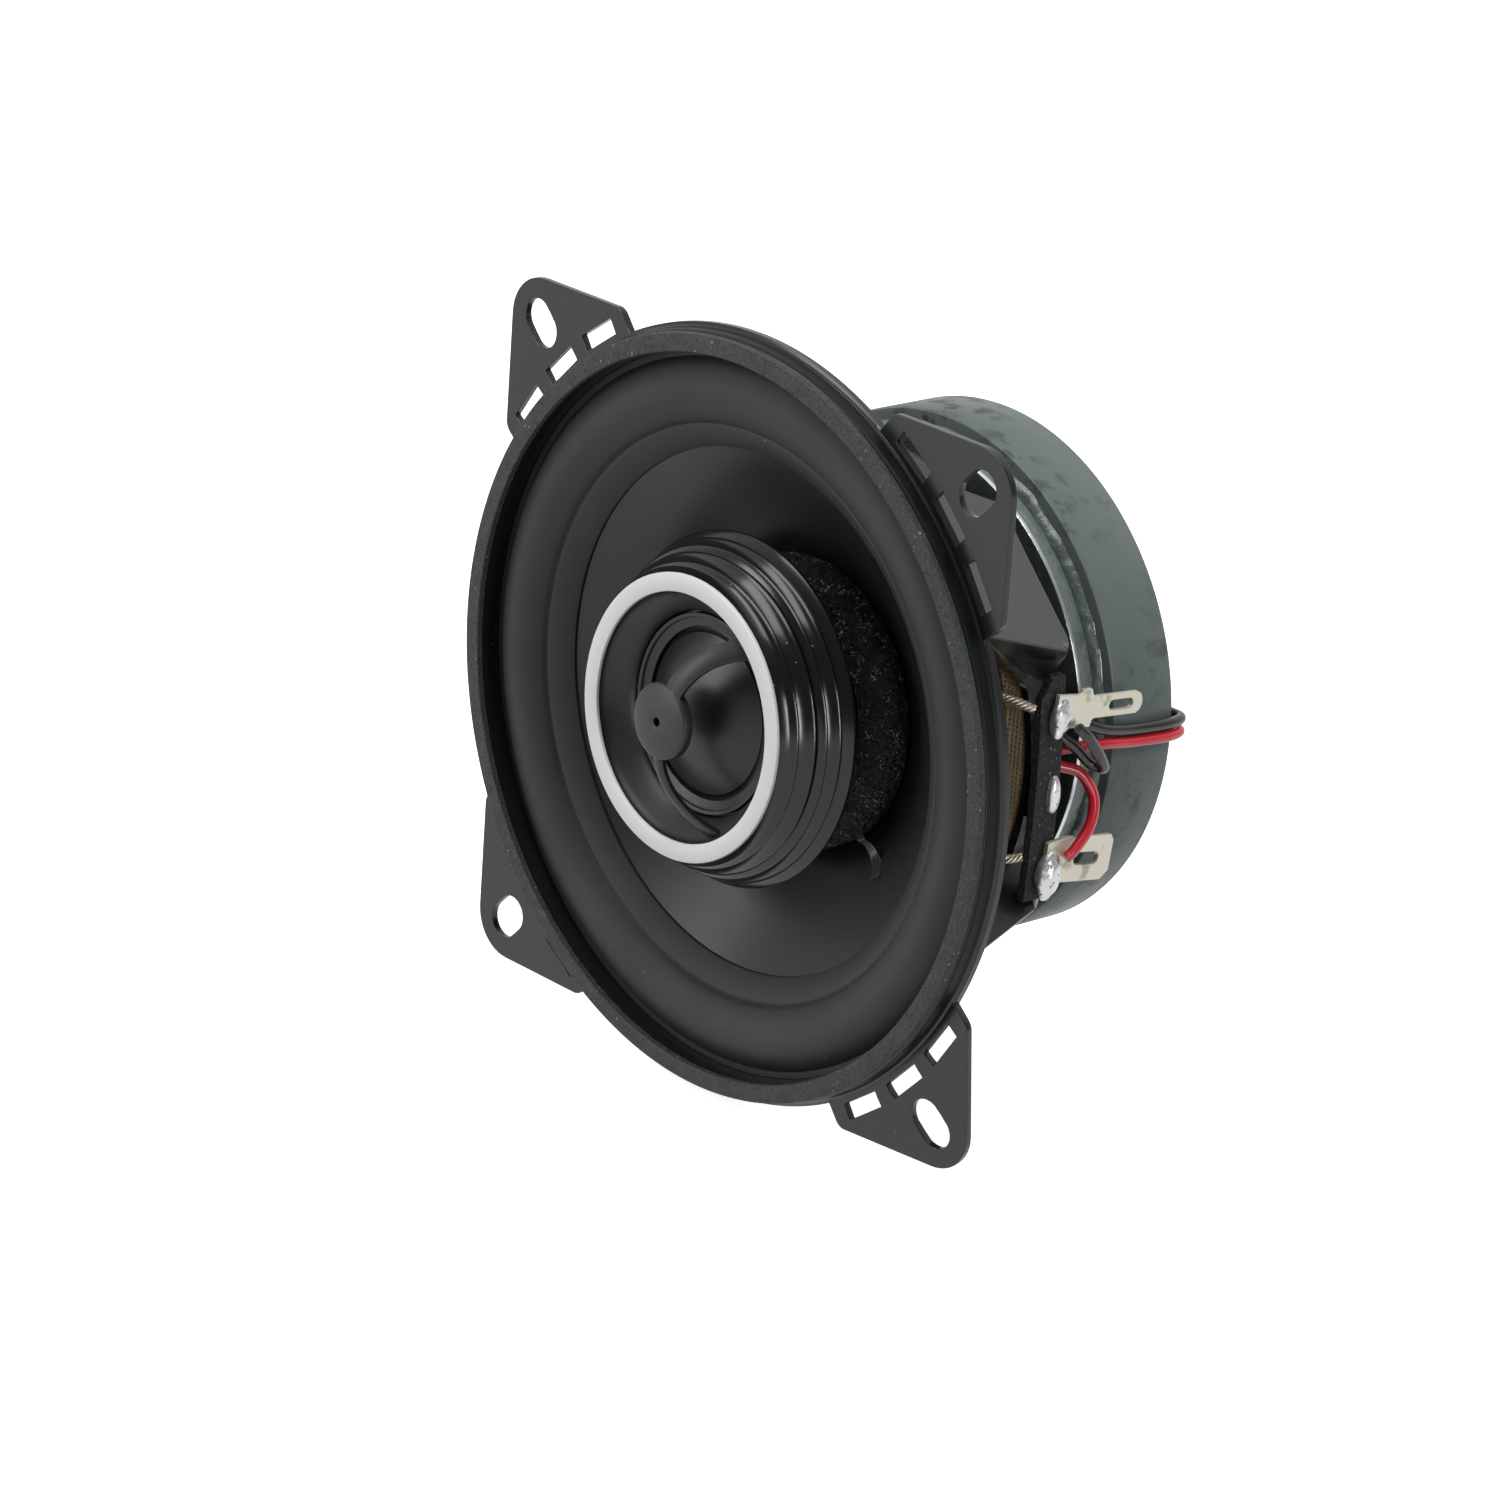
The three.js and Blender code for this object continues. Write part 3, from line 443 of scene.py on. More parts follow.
def foamFinish():
    f = Finish("openCellFoam", (0.013, 0.0142, 0.0146), 0.8)
    cells = f.tree.nodes.new("ShaderNodeTexVoronoi")
    cells.feature = "DISTANCE_TO_EDGE"
    cells.inputs["Scale"].default_value = 2400
    f.tree.links.new(f.place, cells.inputs["Vector"])
    grain = f.grain(3600, 700)
    f.bump(cells.outputs["Distance"], 0.3, 1.0).bump(grain["Height"], 0.15, 1.0)
    wall = addMath(f.tree, "LESS_THAN", cells.outputs["Distance"], 0.06)
    f.rough(grain["Drift"], 0.3, 0.9)
    f.tint(addMath(f.tree, "MULTIPLY", wall, grain["Drift"]), (0.06, 0.063, 0.064), 0.7)
    # painted highlight: tiny near-white specks in the foam's colour stand in for glints of light on its cells
    glint = f.effect(dustAndGlintGroup, Scale=4300, Size=0.82, Clumps=480)["Mask"]
    return f.tint(glint, (0.7, 0.71, 0.71), 0.9).material


def zincFinish():
    f = Finish("zincPlate", (0.2, 0.245, 0.24), 0.42, 0.55)
    grain = f.grain(760, 230)
    f.bump(grain["Height"], 0.3, 1.0).rough(grain["Drift"], 0.3, 0.55)
    f.tint(grain["Drift"], (0.1, 0.125, 0.123), 0.8)
    return f.tint(f.marks(170, 0.55, 0.68), (0.07, 0.08, 0.08), 0.7).material


def ferriteFinish():
    f = Finish("groundFerrite", (0.072, 0.094, 0.092), 0.4, 0.1, Specular_IOR_Level=0.25)
    grain = f.grain(1500, 35)
    f.bump(grain["Height"], 0.015, 0.6).rough(grain["Drift"], 0.32, 0.5)
    f.tint(grain["Drift"], (0.15, 0.18, 0.175), 0.9)
    marks = f.marks(300, 0.5, 0.58)
    patches = f.marks(42, 0.46, 0.6)
    f.tint(addMath(f.tree, "MULTIPLY", marks, patches), (0.02, 0.024, 0.024), 0.85)
    return f.dust(380, 0.14, 60, (0.4, 0.42, 0.42), 0.5).material


def glueFinish():
    f = Finish("glueBead", (0.13, 0.165, 0.16), 0.28, Coat_Weight=0.5)
    grain = f.grain(420, 200)
    f.bump(grain["Height"], 0.8, 1.0)
    return f.tint(grain["Drift"], (0.045, 0.06, 0.058), 0.8).material


def ringFinish():
    f = Finish("trimRingWhite", (0.86, 0.87, 0.865), 0.3)
    grain = f.grain(2200, 60)
    f.bump(grain["Height"], 0.006, 0.5)
    return f.tint(grain["Drift"], (0.74, 0.75, 0.75), 0.6).material


def housingFinish():
    f = Finish("housingGloss", (0.006, 0.0072, 0.008), 0.16)
    grain = f.grain(500, 60)
    f.bump(grain["Height"], 0.006, 0.4).rough(grain["Drift"], 0.12, 0.24)
    return f.dust(600, 0.13, 120, (0.32, 0.33, 0.33), 0.55).material


def funnelFinish():
    f = Finish("bridgeSatin", (0.0125, 0.0142, 0.0148), 0.42)
    grain = f.grain(2400, 80)
    f.bump(grain["Height"], 0.01, 0.5).rough(grain["Drift"], 0.36, 0.5)
    return f.dust(800, 0.12, 150, (0.3, 0.3, 0.3), 0.5).material


def domeFinish():
    f = Finish("domeFilm", (0.0095, 0.011, 0.0115), 0.38)
    grain = f.grain(900, 80)
    f.bump(grain["Height"], 0.008, 0.5).rough(grain["Drift"], 0.32, 0.44)
    return f.dust(700, 0.1, 160, (0.3, 0.3, 0.3), 0.4).material


def nickelFinish():
    f = Finish("nickelPlate", (0.55, 0.56, 0.57), 0.2, 1.0)
    grain = f.grain(1500, 150)
    return f.bump(grain["Height"], 0.01).rough(grain["Drift"], 0.15, 0.3).material


def tabFinish():
    f = Finish("tinnedBrass", (0.62, 0.6, 0.5), 0.38, 0.55)
    grain = f.grain(1200, 240)
    f.bump(grain["Height"], 0.02, 0.7).rough(grain["Drift"], 0.28, 0.5)
    f.tint(grain["Drift"], (0.72, 0.7, 0.6), 0.7)
    return f.tint(f.marks(350, 0.56, 0.66), (0.2, 0.17, 0.1), 0.6).material


def boardFinish():
    f = Finish("fibreBoard", (0.011, 0.012, 0.0135), 0.8)
    grain = f.grain(2600, 300)
    strand = f.marks(1900, 0.5, 0.6)
    f.bump(grain["Height"], 0.25, 1.0).bump(strand, 0.12, 1.0).tint(strand, (0.06, 0.062, 0.066), 0.7)
    return f.dust(1300, 0.4, 260, (0.3, 0.3, 0.29), 0.6).material


def solderFinish():
    f = Finish("brightSolder", (0.74, 0.75, 0.76), 0.3, 0.8)
    grain = f.grain(900, 350)
    flux = f.marks(1300, 0.6, 0.66)
    f.bump(grain["Height"], 0.12, 1.0).rough(grain["Drift"], 0.2, 0.45)
    f.tint(grain["Drift"], (0.5, 0.51, 0.52), 0.6)
    return f.tint(flux, (0.04, 0.03, 0.02), 0.85).material


def sheathFinish(name, color):
    f = Finish(name, color, 0.22, Coat_Weight=0.3, Coat_Roughness=0.1)
    grain = f.grain(900, 200)
    f.bump(grain["Height"], 0.012, 0.6).rough(grain["Drift"], 0.16, 0.32)
    return f.dust(900, 0.15, 260, (0.45, 0.42, 0.4), 0.4).material


def tinselFinish():
    f = Finish("tinselStrands", (0.42, 0.37, 0.27), 0.3, 0.8)
    grain = f.grain(3200, 500)
    return f.bump(grain["Height"], 0.05, 1.0).tint(grain["Drift"], (0.78, 0.72, 0.56), 0.6).material


def paintedSideShadeFinish():
    # a darker, duller copy of the basket paint for the rim's outer side and the ear slots' walls: painted
    # shade
    f = Finish("rimSide", (0.003, 0.0042, 0.0044), 0.45, Specular_IOR_Level=0.2)
    return f.bump(f.grain(2600, 45)["Height"], 0.01, 0.5).material


def shadedZincFinish():
    f = Finish("zincInShade", (0.02, 0.0245, 0.024), 0.5, 0.2)
    grain = f.grain(900, 300)
    return f.bump(grain["Height"], 0.25, 1.0).tint(grain["Drift"], (0.06, 0.072, 0.07), 0.7).material


def edgeHighlightFinish():
    # a brighter, smoother copy of the zinc for the top plate's front chamfer: painted highlight along the edge
    f = Finish("zincEdgeHighlight", (0.62, 0.66, 0.65), 0.28, 0.9)
    return f.bump(f.grain(1400, 300)["Height"], 0.05, 1.0).material


def tornFilmFinish():
    f = Finish("tornFilm", (0.12, 0.125, 0.126), 0.25, Coat_Weight=0.4)
    grain = f.grain(1500, 600)
    return f.bump(grain["Height"], 0.1, 1.0).tint(grain["Drift"], (0.2, 0.205, 0.2), 0.6).material


finishes = {
    "black_paint": paintFinish(), "gasket_felt": gasketFinish(), "rubber": surroundFinish(),
    "cone": coneFinish(), "spider_cloth": clothFinish(), "paper": paperFinish(), "copper": copperFinish(),
    "foam": foamFinish(), "zinc": zincFinish(), "ferrite": ferriteFinish(), "glue": glueFinish(),
    "white_ring": ringFinish(), "gloss_black": housingFinish(), "satin_black": funnelFinish(),
    "nickel": nickelFinish(), "tinned_brass": tabFinish(), "fibre": boardFinish(), "tin": solderFinish(),
    "black_pvc": sheathFinish("blackSheath", (0.007, 0.007, 0.0075)),
    "red_pvc": sheathFinish("redSheath", (0.55, 0.012, 0.03)), "tinsel": tinselFinish(),
}
domeFilm = domeFinish()
print("finishes ready:", len(finishes))


# tools for the pieces; dimensions are in millimetres
def pick(piece):
    deselectAll()
    piece.select_set(True)
    bpy.context.view_layer.objects.active = piece


def editMode(piece):
    pick(piece)
    bpy.ops.object.mode_set(mode="EDIT")
    bpy.ops.mesh.select_mode(type="VERT")
    bpy.ops.mesh.select_all(action="SELECT")


def setOrigin(piece):
    pick(piece)
    bpy.ops.object.transform_apply(location=True, rotation=True, scale=True)


def selectWhere(piece, test, kind="VERT"):
    # in edit mode: selects what the test picks out by place
    bpy.ops.mesh.select_mode(type=kind)
    bpy.ops.mesh.select_all(action="DESELECT")
    mesh = bmesh.from_edit_mesh(piece.data)
    for item in {"VERT": mesh.verts, "EDGE": mesh.edges, "FACE": mesh.faces}[kind]:
        item.select_set(test(item))
    mesh.select_flush_mode()
    bmesh.update_edit_mesh(piece.data)


def applyModifiers(piece):
    pick(piece)
    for modifier in list(piece.modifiers):
        bpy.ops.object.modifier_apply(modifier=modifier.name)


def soften(piece, width, segments=2, angle=35):
    bevel = piece.modifiers.new("edgeRound", "BEVEL")
    bevel.width = width * mm
    bevel.segments = segments
    bevel.limit_method = "ANGLE"
    bevel.angle_limit = math.radians(angle)
    bevel.harden_normals = False
    applyModifiers(piece)


def evenShading(piece):
    # large flat faces decide the shading at their rounded edges
    weighted = piece.modifiers.new("evenShading", "WEIGHTED_NORMAL")
    weighted.weight = 100
    weighted.keep_sharp = True
    applyModifiers(piece)


def combine(piece, other, operation):
    boolean = piece.modifiers.new("combine", "BOOLEAN")
    boolean.operation = operation
    boolean.solver = "EXACT"
    boolean.object = other
    applyModifiers(piece)
    bpy.data.objects.remove(other)


def turnPiece(name, outline, steps=160):
    # an outline of [radius, depth] points, extruded point by point and spun about the speaker's axis
    deselectAll()
    bpy.ops.mesh.primitive_plane_add(size=mm, location=(outline[0][0] * mm, outline[0][1] * mm, 0))
    piece = bpy.context.object
    piece.name = name
    bpy.ops.object.transform_apply(location=True, rotation=True, scale=True)
    bpy.ops.object.mode_set(mode="EDIT")
    bpy.ops.mesh.select_mode(type="VERT")
    bpy.ops.mesh.select_all(action="SELECT")
    bpy.ops.mesh.merge(type="CENTER")
    onAxis = outline[0][0] == 0 and outline[-1][0] == 0
    route = list(outline) if onAxis else [*outline, outline[0]]
    for (r1, y1), (r2, y2) in zip(route, route[1:]):
        bpy.ops.mesh.extrude_region_move(
            TRANSFORM_OT_translate={"value": ((r2 - r1) * mm, (y2 - y1) * mm, 0)})
    bpy.ops.mesh.select_all(action="SELECT")
    bpy.ops.mesh.remove_doubles(threshold=1e-6)
    bpy.ops.mesh.spin(steps=steps, angle=2 * math.pi, center=(0, 0, 0), axis=(0, 1, 0))
    bpy.ops.mesh.select_all(action="SELECT")
    bpy.ops.mesh.remove_doubles(threshold=1e-6)
    bpy.ops.mesh.normals_make_consistent(inside=False)
    bpy.ops.object.mode_set(mode="OBJECT")
    return piece


def outlinePlate(name, outline, thickness):
    # a flat blank cut to an outline in X and Y, thickened upwards in Z
    deselectAll()
    bpy.ops.mesh.primitive_circle_add(vertices=len(outline), radius=0.01, fill_type="NGON")
    piece = bpy.context.object
    piece.name = name
    for vertex, (x, y) in zip(piece.data.vertices, outline):
        vertex.co = (x * mm, y * mm, 0)
    bpy.ops.object.mode_set(mode="EDIT")
    bpy.ops.mesh.select_all(action="SELECT")
    bpy.ops.mesh.extrude_region_move(TRANSFORM_OT_translate={"value": (0, 0, thickness * mm)})
    bpy.ops.mesh.select_all(action="SELECT")
    bpy.ops.mesh.normals_make_consistent(inside=False)
    bpy.ops.object.mode_set(mode="OBJECT")
    return piece


def addBlock(size, place, turn=0.0):
    # a box of three side lengths about its middle, turned about the speaker's axis
    deselectAll()
    bpy.ops.mesh.primitive_cube_add(size=1)
    block = bpy.context.object
    block.scale = [side * mm for side in size]
    block.location = [at * mm for at in place]
    block.rotation_euler.y = -turn
    setOrigin(block)
    return block


def slotCutter(width, length, place, rotation, depth=14):
    # a round-ended punch: a cylinder whose two halves are drawn apart along X
    deselectAll()
    bpy.ops.mesh.primitive_cylinder_add(vertices=32, radius=width / 2 * mm, depth=depth * mm)
    punch = bpy.context.object
    bpy.ops.object.mode_set(mode="EDIT")
    for side in (-1, 1):
        selectWhere(punch, lambda v: v.co.x * side > 1e-6)
        bpy.ops.transform.translate(value=(side * (length - width) / 2 * mm, 0, 0))
    bpy.ops.object.mode_set(mode="OBJECT")
    punch.rotation_euler = rotation
    punch.location = Vector(place) * mm
    setOrigin(punch)
    return punch


def dress(piece, body, slotName, replaced=(), material=None, angle=38, even=False):
    pick(piece)
    bpy.ops.object.shade_smooth_by_angle(angle=math.radians(angle))
    if even:
        evenShading(piece)
    piece.data.materials.clear()
    piece.data.materials.append(material or finishes[slotName])
    if body:
        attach(piece, body)
    if replaced:
        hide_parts(*replaced)
    print("made", piece.name, len(piece.data.polygons), "faces")
    return piece


def smoothRoute(points, per=10):
    # centripetal Catmull-Rom through the points
    pts = [Vector(p) for p in points]
    pts = [pts[0] * 2 - pts[1], *pts, pts[-1] * 2 - pts[-2]]
    route = []
    for a, b, c, d in zip(pts, pts[1:], pts[2:], pts[3:]):
        k1 = (b - a).length ** 0.5
        k2 = k1 + (c - b).length ** 0.5
        k3 = k2 + (d - c).length ** 0.5
        for i in range(per):
            t = k1 + (k2 - k1) * i / per
            ab = a * ((k1 - t) / k1) + b * (t / k1)
            bc = b * ((k2 - t) / (k2 - k1)) + c * ((t - k1) / (k2 - k1))
            cd = c * ((k3 - t) / (k3 - k2)) + d * ((t - k2) / (k3 - k2))
            abc = ab * ((k2 - t) / k2) + bc * (t / k2)
            bcd = bc * ((k3 - t) / (k3 - k1)) + cd * ((t - k1) / (k3 - k1))
            route.append(abc * ((k2 - t) / (k2 - k1)) + bcd * ((t - k1) / (k2 - k1)))
    return [*route, pts[-2]]


def tubeAlong(name, routes, radius, sides=3):
    # one mesh tube for each route
    deselectAll()
    data = bpy.data.curves.new(name, "CURVE")
    data.dimensions = "3D"
    data.bevel_depth = radius * mm
    data.bevel_resolution = sides
    data.use_fill_caps = True
    for route in routes:
        spline = data.splines.new("POLY")
        spline.points.add(len(route) - 1)
        for point, place in zip(spline.points, route):
            point.co = (*(place * mm), 1)
    tube = bpy.data.objects.new(name, data)
    scene.collection.objects.link(tube)
    pick(tube)
    bpy.ops.object.convert(target="MESH")
    tube = bpy.context.object
    tube.name = name
    return tube


# basket
basket = {
    "rim": [(48.4, -3.25), (50.75, -3.25), (51.12, -3.12), (51.3, -2.75), (51.3, -1.5), (51.42, -1.15),
            (51.75, -0.97), (52.0, -0.85), (52.0, 0.0), (47.45, 0.0), (47.3, 1.0), (45.8, 1.0),
            (45.8, 0.1), (48.4, 0.1)],
    "wall": [(47.3, 0.9), (47.1, 2.2), (46.3, 3.8), (44.6, 6.4), (41.3, 11.4), (38.0, 16.4), (36.5, 18.8),
             (35.2, 21.4), (33.6, 24.6), (32.4, 27.0), (31.8, 28.1), (31.1, 29.0), (30.2, 29.65),
             (29.3, 30.0), (28.4, 30.1), (15.2, 30.1), (15.2, 29.2), (28.2, 29.2), (29.1, 29.05),
             (29.9, 28.6), (30.6, 27.8), (31.4, 26.5), (32.7, 24.0), (34.3, 20.8), (35.6, 18.4),
             (37.1, 16.0), (40.4, 11.0), (43.7, 6.0), (45.4, 3.4), (46.2, 1.8), (46.4, 0.9)],
    "ledge": [(32.8, 18.9), (36.2, 18.9), (35.9, 19.8), (32.8, 19.8)],
    "outerPoints": 10, "insideMouth": (46.5, 0.2), "wallSteps": 176, "rimSteps": 240,
    "windowY": (3.6, 18.2), "windowHalf": (22.6, 11.6), "windowReach": (30, 58), "windowCorner": 1.7,
    "rib": [(30, 0.4), (45.7, 0.4), (45.5, 2.0), (39.8, 20.6), (39.35, 22.2), (38.4, 23.2),
            (36.9, 23.7), (30, 24.5)],
    "ribHollow": [(30, 3.0), (44.3, 3.0), (38.9, 20.6), (38.4, 21.8), (36.8, 22.7), (30, 23.4)],
    "ribNear": (12.6, 15.6), "ribNearBoard": (12.6, 13.5), "ribFar": (12.0, 6.5),
    "ribRun": (2.0, 20.6), "ribCorner": 2.2, "ribCornerFrom": (36, 20), "ribEdge": 0.6,
    "corners": (45, 135, 225, 315), "boardCorner": 315, "sheet": 0.9,
    "lug": {"size": (1.9, 3.3, 7.2), "place": (35.95, 20.55, -2.6), "edge": 0.3},
    "rimSide": (51.05, 51.36), "rimSideDepth": (-3.15, -1.3), "slotWall": (52.3, 52.7),
    "edge": 0.14,
}
ears = {
    "reach": 68.73, "thickness": 1.0, "tip": 6.0, "root": 15.56, "rootAt": 53.17, "inner": 50.5,
    "holeAt": 60.1, "holeWidth": 5.0, "holeLength": 7.0,
    "slotAt": 53.6, "slotWidth": 2.2, "slotLength": 6.6, "slotStep": 10.1,
    "cutAt": 44, "tipFrom": 66, "rootFrom": 52, "rootCorner": 0.9, "sideSlope": 0.11, "punch": 14,
    "bentBack": 8.5, "bendAt": (52.6, 53.1, 53.6), "edge": 0.13,
}


def makeWindowCutter(quarter):
    deselectAll()
    (x0, x1), (y0, y1), (z0, z1) = basket["windowReach"], basket["windowY"], basket["windowHalf"]
    bpy.ops.mesh.primitive_cube_add(size=mm)
    cutter = bpy.context.object
    for v in cutter.data.vertices:
        rear = v.co.y > 0
        v.co = ((x0 if v.co.x < 0 else x1) * mm, (y1 if rear else y0) * mm,
                math.copysign(z1 if rear else z0, v.co.z) * mm)
    bpy.ops.object.mode_set(mode="EDIT")
    selectWhere(cutter, lambda e: abs(e.verts[0].co.x - e.verts[1].co.x) > 0.01, "EDGE")
    bpy.ops.mesh.bevel(offset=basket["windowCorner"] * mm, segments=6, affect="EDGES")
    bpy.ops.object.mode_set(mode="OBJECT")
    cutter.rotation_euler.y = quarter * math.pi / 2
    setOrigin(cutter)
    return cutter


def makeRib(outline, angle, inset=0.0):
    # a flat raised arm: its outline of [height over the axis, depth] thickened across the arm,
    # leaning toward the horizontal as it runs back
    blank = 2
    rib = outlinePlate("armRib", outline, blank)
    towardX = -1 if angle in (45, 225) else 1
    near = basket["ribNearBoard" if angle == basket["boardCorner"] else "ribNear"]
    front, rear = basket["ribRun"]
    for v in rib.data.vertices:
        t = min(1, max(0, (v.co.y / mm - front) / (rear - front)))
        outer = v.co.z > blank / 2 * mm
        first, last = near if outer else basket["ribFar"]
        v.co.z = (first + (last - first) * t - inset) * (1 if outer else -1) * towardX * mm
    editMode(rib)
    bpy.ops.mesh.normals_make_consistent(inside=False)
    bpy.ops.object.mode_set(mode="OBJECT")
    if not inset:
        # the rear corner nearest the horizontal is well rounded
        height, depth = (at * mm for at in basket["ribCornerFrom"])
        editMode(rib)
        selectWhere(rib, lambda e: all(v.co.y > depth and v.co.x > height and v.co.z * towardX > 0
                                       for v in e.verts), "EDGE")
        bpy.ops.mesh.bevel(offset=basket["ribCorner"] * mm, segments=5, affect="EDGES")
        bpy.ops.object.mode_set(mode="OBJECT")
        soften(rib, basket["ribEdge"], 3, 25)
    rib.rotation_euler.y = -math.radians(angle)
    setOrigin(rib)
    editMode(rib)
    bpy.ops.mesh.quads_convert_to_tris()
    bpy.ops.object.mode_set(mode="OBJECT")
    return rib


def insideWall():
    # the space within the middle of the wall's sheet
    wall = [(r - basket["sheet"] / 2, y) for r, y in basket["wall"][:basket["outerPoints"]]]
    mouth = basket["insideMouth"]
    return turnPiece("insideWall", [(0, mouth[1]), mouth, *wall, (0, wall[-1][1])], basket["wallSteps"])


def makeEar(angle, bent):
    deselectAll()
    bpy.ops.mesh.primitive_cylinder_add(
        vertices=4, radius=ears["reach"] * mm, depth=ears["thickness"] * mm,
        rotation=(math.pi / 2, 0, 0), location=(0, -ears["thickness"] / 2 * mm, 0))
    ear = bpy.context.object
    ear.name = "ear"
    setOrigin(ear)
    editMode(ear)
    bpy.ops.mesh.bisect(plane_co=(ears["cutAt"] * mm, 0, 0), plane_no=(1, 0, 0), use_fill=True,
                        clear_inner=True)
    for side in (-1, 1):
        bpy.ops.mesh.select_all(action="SELECT")
        bpy.ops.mesh.bisect(plane_co=(ears["rootAt"] * mm, 0, side * ears["root"] * mm),
                            plane_no=(-ears["sideSlope"], 0, side), use_fill=True, clear_outer=True)
    selectWhere(ear, lambda e: all(v.co.x > ears["tipFrom"] * mm for v in e.verts), "EDGE")
    bpy.ops.mesh.bevel(offset=ears["tip"] * mm, segments=12, affect="EDGES")
    selectWhere(ear, lambda e: all(abs(abs(v.co.z) - ears["root"] * mm) < 0.2 * mm and
                                   v.co.x > ears["rootFrom"] * mm for v in e.verts), "EDGE")
    bpy.ops.mesh.bevel(offset=ears["rootCorner"] * mm, segments=4, affect="EDGES")
    bpy.ops.object.mode_set(mode="OBJECT")
    flat = (math.pi / 2, 0, 0)
    hole = slotCutter(ears["holeWidth"], ears["holeLength"], (ears["holeAt"], 0, 0), flat)
    combine(ear, hole, "DIFFERENCE")
    for step in (-1, 0, 1):
        turn = math.radians(step * ears["slotStep"])
        place = (ears["slotAt"] * math.cos(turn), 0, ears["slotAt"] * math.sin(turn))
        punch = addBlock((ears["slotWidth"], ears["punch"], ears["slotLength"]), place, turn)
        combine(ear, punch, "DIFFERENCE")
    deselectAll()
    bpy.ops.mesh.primitive_cylinder_add(vertices=160, radius=ears["inner"] * mm,
                                        depth=ears["punch"] * mm, rotation=flat)
    inside = bpy.context.object
    setOrigin(inside)
    combine(ear, inside, "DIFFERENCE")
    soften(ear, ears["edge"], 2, 50)
    if bent:
        editMode(ear)
        for at in ears["bendAt"]:
            bpy.ops.mesh.select_all(action="SELECT")
            bpy.ops.mesh.bisect(plane_co=(at * mm, 0, 0), plane_no=(1, 0, 0))
            selectWhere(ear, lambda v: v.co.x > (at + 0.01) * mm)
            bpy.ops.transform.rotate(value=-math.radians(ears["bentBack"] / 3), orient_axis="Z",
                                     center_override=(at * mm, -ears["thickness"] * mm, 0))
        bpy.ops.object.mode_set(mode="OBJECT")
    ear.rotation_euler.y = -math.radians(angle)
    setOrigin(ear)
    return ear


def makeBasket():
    wall = turnPiece("basketFrame", basket["wall"], basket["wallSteps"])
    for quarter in range(4):
        combine(wall, makeWindowCutter(quarter), "DIFFERENCE")
    soften(wall, basket["edge"], 2, 50)
    for angle in basket["corners"]:
        rib = makeRib(basket["rib"], angle)
        combine(rib, insideWall(), "DIFFERENCE")
        combine(wall, rib, "UNION")
        combine(wall, makeRib(basket["ribHollow"], angle, basket["sheet"]), "DIFFERENCE")
    combine(wall, turnPiece("rimRing", basket["rim"], basket["rimSteps"]), "UNION")
    combine(wall, turnPiece("ledgeRing", basket["ledge"], basket["wallSteps"]), "UNION")
    for angle in basket["corners"]:
        combine(wall, makeEar(angle, angle == basket["boardCorner"]), "UNION")
    lug = addBlock(basket["lug"]["size"], basket["lug"]["place"])
    soften(lug, basket["lug"]["edge"], 3)
    combine(wall, lug, "UNION")
    dress(wall, "frame_assembly", "black_paint", ["basket"], angle=50, even=True)
    # faces on the rim's outer side and on the slot walls take the second, darker copy of the paint: painted
    # shade
    wall.data.materials.append(paintedSideShadeFinish())
    (side0, side1), (front, rear), (slot0, slot1) = (
        [at * mm for at in basket[k]] for k in ("rimSide", "rimSideDepth", "slotWall"))
    for face in wall.data.polygons:
        reach = math.hypot(face.center.x, face.center.z)
        onSide = side0 < reach < side1 and front < face.center.y < rear
        if onSide or (slot0 < reach < slot1 and abs(face.normal.y) < 0.5):
            face.material_index = 1


# gasket, surround, cone and the parts that move with it
cone = {"edge": (38.4, 0.35), "neck": (13.2, 17.4), "thickness": 0.6,
        "radii": (38.35, 36, 33, 30, 27, 24, 21, 18, 15.5, 13.3), "underRoll": 0.02}
coneSlope = (cone["neck"][1] - cone["edge"][1]) / (cone["edge"][0] - cone["neck"][0])
gasket = {"inner": 48.5, "outer": 51.0, "front": -4.2, "rear": -3.31, "round": 0.28}
roll = {"landing": 48.35, "outer": 47.5, "inner": 38.9, "height": 2.0, "thickness": 0.42,
        "face": -0.47, "fullness": 0.85, "steps": 24,
        "shoulder": [(38.78, -0.2), (38.6, -0.02), (38.35, -0.08)],
        "overCone": [(38.1, -0.58), (36.6, -0.56), (35.45, -0.52), (35.25, -0.42)]}
spider = {"inner": 14.2, "outer": 32.3, "waves": 5, "height": 0.6, "rim": 35.3,
          "middle": 18.2, "thickness": 0.36, "steps": 60, "collar": [(12.95, 18.0), (13.9, 18.02)],
          "edge": [(32.6, 18.3), (33.0, 18.4)]}
foam = {
    "outline": [(13.9, 9.5), (14.2, 8.8), (15.0, 8.4), (16.4, 8.3), (17.8, 8.5), (18.9, 9.1), (19.6, 10.1),
                (19.8, 11.4), (19.7, 12.85), (18.6, 13.55), (16.4, 15.05), (14.6, 16.2), (13.9, 15.6),
                (13.85, 12.4)],
    "rough": 0.6, "cell": 0.3, "glued": 1.2, "bore": 14.4,
    "lumps": ((300, 0.5), (1100, 0.5), (2300, 0.6)),
}
flap = {
    "grid": (24, 5), "start": (15.9, -12.8), "run": (4.4, -3.9), "wave": (0.9, 0.7), "waves": (9.0, 5),
    "width": (0.5, 1.7, 0.5), "depth": 8.6, "film": 0.16,
}


def coneY(radius):
    return cone["edge"][1] + (cone["edge"][0] - radius) * coneSlope


def thickLine(line, thickness):
    return [*line, *[(r, y + thickness) for r, y in reversed(line)]]


def blendRadially(piece, inner, outer, child):
    # held by the frame at the outer radius and by the moving piece at the inner one
    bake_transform(piece, "frame_assembly", child, start=(outer * mm, 0, 0), end=(inner * mm, 0, 0))
    share = piece.data.attributes["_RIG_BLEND"]
    for i, v in enumerate(piece.data.vertices):
        t = (outer * mm - math.hypot(v.co.x, v.co.z)) / ((outer - inner) * mm)
        t = min(1, max(0, t))
        share.data[i].value = t * t * (3 - 2 * t)


